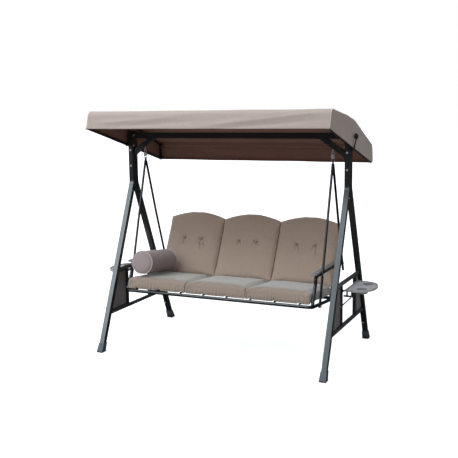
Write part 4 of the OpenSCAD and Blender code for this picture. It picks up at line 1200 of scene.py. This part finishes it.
def sleeve(centre, x0, x1, reach, rows):
    """A cloth flap sewn to the sheet on both sides of a tube and wrapped under it."""
    radius, wrap, thickness = 10.4, radians(62), 0.9
    k = int(np.argmin(np.hypot(*(profile - centre).T)))
    front, rear = (nearest_station(profile_s[k] + step) for step in (-reach, reach))
    verts = []
    for x in np.linspace(x0, x1, rows):
        section = [sheet_point(x, front, lift=-2.4)]
        for a in np.linspace(-1, 1, 13) * wrap:
            way = -outward[k] * cos(a) + tangents[k] * sin(a)
            section.append(centre + (radius + 0.25 * sin(x / 21.0)) * way)
        section.append(sheet_point(x, rear, lift=-2.4))
        verts += [(x, *point) for point in section]
    verts = np.array(verts)
    shift = np.array([0, *outward[k]]) * thickness
    cols = len(section)
    faces = grid_faces(rows, cols)
    second = [tuple(i + len(verts) for i in f[::-1]) for f in faces]
    both = np.concatenate([verts, verts + shift]) * MM
    return both, faces + second + rim_faces(rows, cols)


def tube_centre(points):
    """(u, w) of the middle of a cross tube, in millimetres."""
    return (points.min(0) + points.max(0))[1:] / 2 * 1000


def tube_sleeves():
    """Full-width sleeves on the front and rear tubes, six loops on the ridge tube."""
    inverse = CANOPY_MATRIX.inverted()
    points = cad_points("canopy_cross_tubes", inverse)
    parts = []
    for tube in (points[points[:, 1] < 0], points[points[:, 1] > 0]):
        parts.append(sleeve(tube_centre(tube), -905.0, 905.0, reach=34.0, rows=90))
    ridge = tube_centre(cad_points("canopy_ridge_tube", inverse))
    for x in np.linspace(-800, 800, 6):
        parts.append(sleeve(ridge, x - 22, x + 22, reach=30.0, rows=6))
    return make("canopy_tube_sleeves", *merge(parts), M["canopy_in"],
                matrix=CANOPY_MATRIX, bake=True)


canopy_cover()
attach("canopy", "canopy_fabric", arch_piping(), canopy_stitches(), tube_sleeves())


# ------------------------------------------------------------------ side mesh panels
HEM_WIDTH = 0.011
HEM_HALF_THICKNESS = 0.0010


def panel_cloth(x, side, corners):
    """A slightly bowed sheet between four (y, z) corners."""
    (a0, z0), (a1, _), (b1, z1), (b0, _) = corners
    cols, rows = 26, 44
    verts = []
    for i in range(cols):
        for j in range(rows):
            f, g = i / (cols - 1), j / (rows - 1)
            low, high = a0 + (a1 - a0) * f, b0 + (b1 - b0) * f
            bow = 0.0016 * sin(pi * f) * sin(pi * g)
            ripple = 0.0006 * sin(7 * g + 3 * f + side) * sin(pi * f)
            verts.append((x + side * (bow + ripple), low + (high - low) * g, z0 + (z1 - z0) * g))
    return verts, grid_faces(cols, rows, flip=side > 0)


def panel_hem(x, start, end, centre):
    """A border strip along one edge, and a stitch run on each of its faces."""
    way = (end - start) / np.linalg.norm(end - start)
    inward = np.array([-way[1], way[0]])
    if inward @ (centre - start) < 0:
        inward = -inward
    start, end = start + inward * 0.0005, end + inward * 0.0005
    rings = 24
    half = HEM_HALF_THICKNESS
    verts = []
    for f in np.linspace(0, 1, rings):
        outer = start * (1 - f) + end * f
        inner = outer + inward * HEM_WIDTH
        for point, off in ((outer, half), (inner, half), (inner, -half), (outer, -half)):
            verts.append((x + off, *point))
    faces = grid_faces(rings, 4, wrap_cols=True)
    faces += [(0, 1, 2, 3), tuple((rings - 1) * 4 + k for k in (3, 2, 1, 0))]
    runs = []
    for off in (0.0012, -0.0012):
        path = [(x + off, *(start * (1 - f) + end * f + inward * (HEM_WIDTH - 0.002)))
                for f in np.linspace(0.04, 0.96, 12)]
        runs.append(stitch_run(path, pitch=0.0058, length=0.004, radius=0.0004))
    return (verts, faces), runs


def mesh_panels():
    points = cad_points("side_mesh_panels")
    cloths, hems, runs = [], [], []
    for side in (-1, 1):
        for rear in (False, True):
            own = points[(np.sign(points[:, 0]) == side) & ((points[:, 1] > 0) == rear)]
            x0, _, z0 = own.min(0)
            x1, _, z1 = own.max(0)
            x = (x0 + x1) / 2
            low = own[own[:, 2] < z0 + 0.002][:, 1]
            high = own[own[:, 2] > z1 - 0.002][:, 1]
            corners = np.array([(low.min(), z0), (low.max(), z0),
                                (high.max(), z1), (high.min(), z1)])
            cloths.append(panel_cloth(x, side, corners))
            for start, end in zip(corners, np.roll(corners, -1, 0)):
                hem, hem_runs = panel_hem(x, start, end, corners.mean(0))
                hems.append(hem)
                runs += hem_runs
    cloth = make("side_mesh_cloth", *merge(cloths), M["mesh"])
    modify(cloth, "SOLIDIFY", thickness=0.0008, offset=0)
    hem = make("side_mesh_hems", *merge(hems), M["hem_dark"], smooth=False)
    stitches = make("side_mesh_stitches", *merge(runs), M["thread"])
    attach("root", "side_mesh", cloth, hem, stitches)
    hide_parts("side_mesh_panels")


mesh_panels()


# ------------------------------------------------------------------ armrest pads
PAD_DRAWN_HEIGHT = 0.014
# Pad section from the underside lip over the crowned top: (inset, height).
PAD_SECTION = [
    (0.0105, 0.0), (0.0022, 0.0), (0.0006, 0.0008), (0.0, 0.0022), (0.0, 0.0052),
    (0.0008, 0.0056), (0.0008, 0.0064), (0.0, 0.0068), (0.0003, 0.0095), (0.0014, 0.0115),
    (0.0032, 0.0128), (0.0060, 0.0134), (0.0100, 0.0137), (0.0150, 0.0139), (0.0195, 0.01395),
]


def pad_outline(radius, y0, y1):
    """Stadium outline: (x, y, outward x, outward y)."""
    straight = y1 - y0 - 2 * radius
    outline = []
    for start, centre, way in ((pi, y0 + radius, 1), (0, y1 - radius, -1)):
        for k in range(33):
            a = start + pi * k / 32
            outline.append((radius * cos(a), centre + radius * sin(a), cos(a), sin(a)))
        for k in range(1, 30):
            outline.append((way * radius, centre + way * straight * k / 30, way, 0))
    return outline


def arm_pads():
    points = cad_points("armrest_pads")
    right = points[points[:, 0] > 0]
    (x0, y0, z0), (x1, y1, z1) = right.min(0), right.max(0)
    centre_x = (x0 + x1) / 2
    outline = pad_outline((x1 - x0) / 2, y0, y1)
    rise = (z1 - z0) / PAD_DRAWN_HEIGHT
    count, rings = len(outline), len(PAD_SECTION)
    parts = []
    for side in (1, -1):
        verts = [(side * (centre_x + x - out_x * inset), y - out_y * inset, z0 + height * rise)
                 for inset, height in PAD_SECTION for x, y, out_x, out_y in outline]
        faces = grid_faces(rings, count, wrap_cols=True, flip=side < 0)
        faces.append(tuple(range(count))[::-side])
        faces.append(tuple((rings - 1) * count + k for k in range(count))[::side])
        parts.append((verts, faces))
    pads = make("armrest_pads_moulded", *merge(parts), M["arm_plastic"])
    attach("seat", "arm_plastic", pads)
    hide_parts("armrest_pads")


arm_pads()


# ------------------------------------------------------------------ hanger springs
HOOK_RADIUS = 0.0105
SPRING_RADIUS = 0.0138
SPRING_TURNS = 7
WIRE_RADIUS = 0.0021


def spring_hook(x, z, start):
    """Nearly a full turn in the XZ plane, from a start angle in degrees."""
    angles = [radians(start + 318 * k / 29) for k in range(30)]
    return [(x + HOOK_RADIUS * cos(a), 0.0, z + HOOK_RADIUS * sin(a)) for a in angles]


def spring_coil(x, top, bottom):
    """A helix that narrows at both ends."""
    per_turn = 28
    steps = SPRING_TURNS * per_turn
    path = []
    for k in range(steps + 1):
        a = 2 * pi * k / per_turn - pi / 2
        grow = min(1.0, 4 * k / per_turn, 4 * (steps - k) / per_turn)
        r = SPRING_RADIUS * (0.35 + 0.65 * grow)
        path.append((x - r * sin(a), r * cos(a), top + (bottom - top) * k / steps))
    return path


def springs():
    """One wire on each side: top hook, coil, bottom loop."""
    points = cad_points("hanger_springs")
    top, bottom = points[:, 2].max(), points[:, 2].min()
    upper, lower = top - 0.002 - HOOK_RADIUS, bottom + 0.002 + HOOK_RADIUS
    coil_top, coil_bottom = upper - HOOK_RADIUS + 0.0015, lower + HOOK_RADIUS - 0.0015
    wires = []
    for side in (-1, 1):
        own = points[np.sign(points[:, 0]) == side]
        x = (own[:, 0].min() + own[:, 0].max()) / 2
        path = np.array(spring_hook(x, upper, start=-60) + spring_coil(x, coil_top, coil_bottom)
                        + spring_hook(x, lower, start=120))
        for _ in range(3):               # ease the joins between hook and coil
            path[1:-1] = 0.25 * path[:-2] + 0.5 * path[1:-1] + 0.25 * path[2:]
        wires.append(sweep(path, WIRE_RADIUS, 8))
    wire = make("hanger_spring_wire", *merge(wires), M["zinc"])
    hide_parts("hanger_springs")
    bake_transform(wire)


springs()


# ------------------------------------------------------------------ finishes on the CAD parts
# Parts that are not listed are black coated steel.
FINISHES = {
    "leg": ["upper_legs", "lower_legs", "top_beam", "beam_end_plates", "knee_braces",
            "side_struts"],
    "rail": ["side_rails"],
    "zinc": ["leg_joint_bolts", "post_bolts", "beam_bolts", "eye_bolts", "eye_nuts",
             "canopy_pivot_bolts", "strip_bolts", "tray_hinge_pins", "stay_pins", "seat_bolts",
             "hanger_springs"],
    "black_plastic": ["post_caps", "pivot_washers", "rod_spacers", "tube_plugs"],
    "knob": ["right_lever_knob", "left_lever_knob"],
    "foot_plastic": ["foot_caps"],
    "grey_plastic": ["right_tray", "left_tray"],
    "arm_plastic": ["armrest_pads"],
    "mesh": ["side_mesh_panels"],
    "canopy": ["canopy_cover"],
    "seat": ["seat_cushion_left", "seat_cushion_centre", "seat_cushion_right"],
    "back": ["back_cushion_left", "back_cushion_centre", "back_cushion_right", "back_buttons"],
    "bolster": ["bolster"],
}
finish_of = {part: finish for finish, parts in FINISHES.items() for part in parts}
for name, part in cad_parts.items():
    part.data.materials.clear()
    part.data.materials.append(M[finish_of.get(name, "black")])


# ------------------------------------------------------------------ floor
def floor_paper():
    """Glowing and pale to the camera, darker in bounced light, near black in reflections."""
    g = Surface("floor_paper")
    tone = g.remap(g.noise(g.place, scale=1.2, detail=3.0), (0.3, 0.7))
    pale = g.mix(tone, (0.80, 0.80, 0.80), (0.82, 0.82, 0.82))
    ray = g.node("ShaderNodeLightPath").outputs
    bounce = g.mix(ray["Is Glossy Ray"], (0.46, 0.44, 0.42), (0.05, 0.05, 0.05))
    g.set(Base_Color=g.mix(ray["Is Camera Ray"], bounce, pale),
          Roughness=0.95,
          Specular_IOR_Level=0.0,
          Emission_Color=(1, 1, 1, 1),
          Emission_Strength=g.times(ray["Is Camera Ray"], 0.62))
    return g.material


FLOOR_Z = -0.0006
floor = make("floor", [(x, y, FLOOR_Z) for x, y in ((-40, -40), (40, -40), (40, 60), (-40, 60))],
             [(0, 1, 2, 3)], floor_paper(), smooth=False)


# ------------------------------------------------------------------ world
SKY_LEVELS = (0.16, 1.18)        # strength low down and overhead
SKY_LEFT = 0.36                  # extra strength towards -X
SKY_FRONT = 0.22                 # extra strength towards -Y
SKY_COLOR = (0.93, 0.985, 1.06, 1)
BOX_LEVEL = 3.1                  # soft box seen in reflections
BOX_SURROUND = 0.035
BOX_COLOR = (0.76, 0.94, 1.06, 1)


def studio_world():
    """A soft sky for light, one soft box for reflections, plain white for the camera."""
    world = bpy.data.worlds.new("studio")
    scene.world = world
    world.use_nodes = True
    g = Graph(world.node_tree)

    def plus(a, b):
        return g.math("ADD", a, b, None)

    def times(a, b):
        return g.math("MULTIPLY", a, b, None)

    def ease(value, source, target):
        return g.remap(value, source, target, interpolation="SMOOTHSTEP")

    def background(color, strength):
        node = g.node("ShaderNodeBackground")
        g.put(node.inputs[0], color)
        g.put(node.inputs[1], strength)
        return node.outputs[0]

    def mix_shader(factor, a, b):
        node = g.node("ShaderNodeMixShader")
        for socket, value in zip(node.inputs, (factor, a, b)):
            g.put(socket, value)
        return node.outputs[0]

    x, y, z = g.separate(g.node("ShaderNodeTexCoord").outputs["Generated"])
    slant = plus(times(x, -SKY_LEFT), times(y, -SKY_FRONT))
    sky_level = times(ease(z, (0.05, 0.75), SKY_LEVELS), plus(1.0, slant))
    # The soft box stands high on the front left and is dimmer towards the top and right.
    box_z = times(ease(z, (0.22, 0.36), (0.0, 1.0)), ease(z, (0.62, 0.95), (1.0, 0.25)))
    box_y = ease(y, (-0.15, -0.60), (0.0, 1.0))
    box_x = ease(x, (0.05, -0.62), (0.22, 1.0))
    box_level = plus(times(times(box_z, box_y), times(box_x, BOX_LEVEL)), BOX_SURROUND)
    ray = g.node("ShaderNodeLightPath").outputs
    lit = mix_shader(ray["Is Glossy Ray"], background(SKY_COLOR, sky_level),
                     background(BOX_COLOR, box_level))
    seen = mix_shader(ray["Is Camera Ray"], lit, background((1, 1, 1, 1), 1.0))
    g.put(g.node("ShaderNodeOutputWorld").inputs[0], seen)


studio_world()


# ------------------------------------------------------------------ lights
def area_light(name, location, target, size, power, color):
    light = bpy.data.lights.new(name, "AREA")
    light.shape = "RECTANGLE"
    light.size, light.size_y = size
    light.energy = power
    light.color = color
    ob = bpy.data.objects.new(name, light)
    scene.collection.objects.link(ob)
    ob.location = location
    way = Vector(target) - Vector(location)
    ob.rotation_euler = way.to_track_quat("-Z", "Y").to_euler()


area_light("key", location=(-3.2, -5.2, 3.6), target=(0, 0, 0.9),
           size=(3.2, 2.4), power=62, color=(1.0, 0.955, 0.90))
area_light("overhead", location=(-1.4, -3.4, 6.2), target=(0, -0.1, 0.8),
           size=(3.0, 2.2), power=175, color=(0.86, 0.97, 1.0))


# ------------------------------------------------------------------ camera
CAMERA_PLACE = Vector((2.5072, -5.5961, 1.8699))
YAW, PITCH, ROLL = 0.427, -0.159, -0.013      # radians; yaw turns from +Y towards -X


def add_camera():
    camera = bpy.data.cameras.new("camera")
    camera.sensor_width = 36.0
    camera.lens = 62.4372052
    camera.shift_x = -0.00386462882
    camera.shift_y = 0.0134061135
    camera.clip_end = 200
    ob = bpy.data.objects.new("camera", camera)
    scene.collection.objects.link(ob)
    forward = Vector((-sin(YAW) * cos(PITCH), cos(YAW) * cos(PITCH), sin(PITCH)))
    level = Vector((cos(YAW), sin(YAW), 0))
    upright = level.cross(forward)
    right = level * cos(ROLL) + upright * sin(ROLL)
    up = -level * sin(ROLL) + upright * cos(ROLL)
    ob.matrix_world = basis(CAMERA_PLACE, right, up, -forward)
    scene.camera = ob


add_camera()
scene.view_settings.view_transform = "Standard"
scene.view_settings.look = "None"
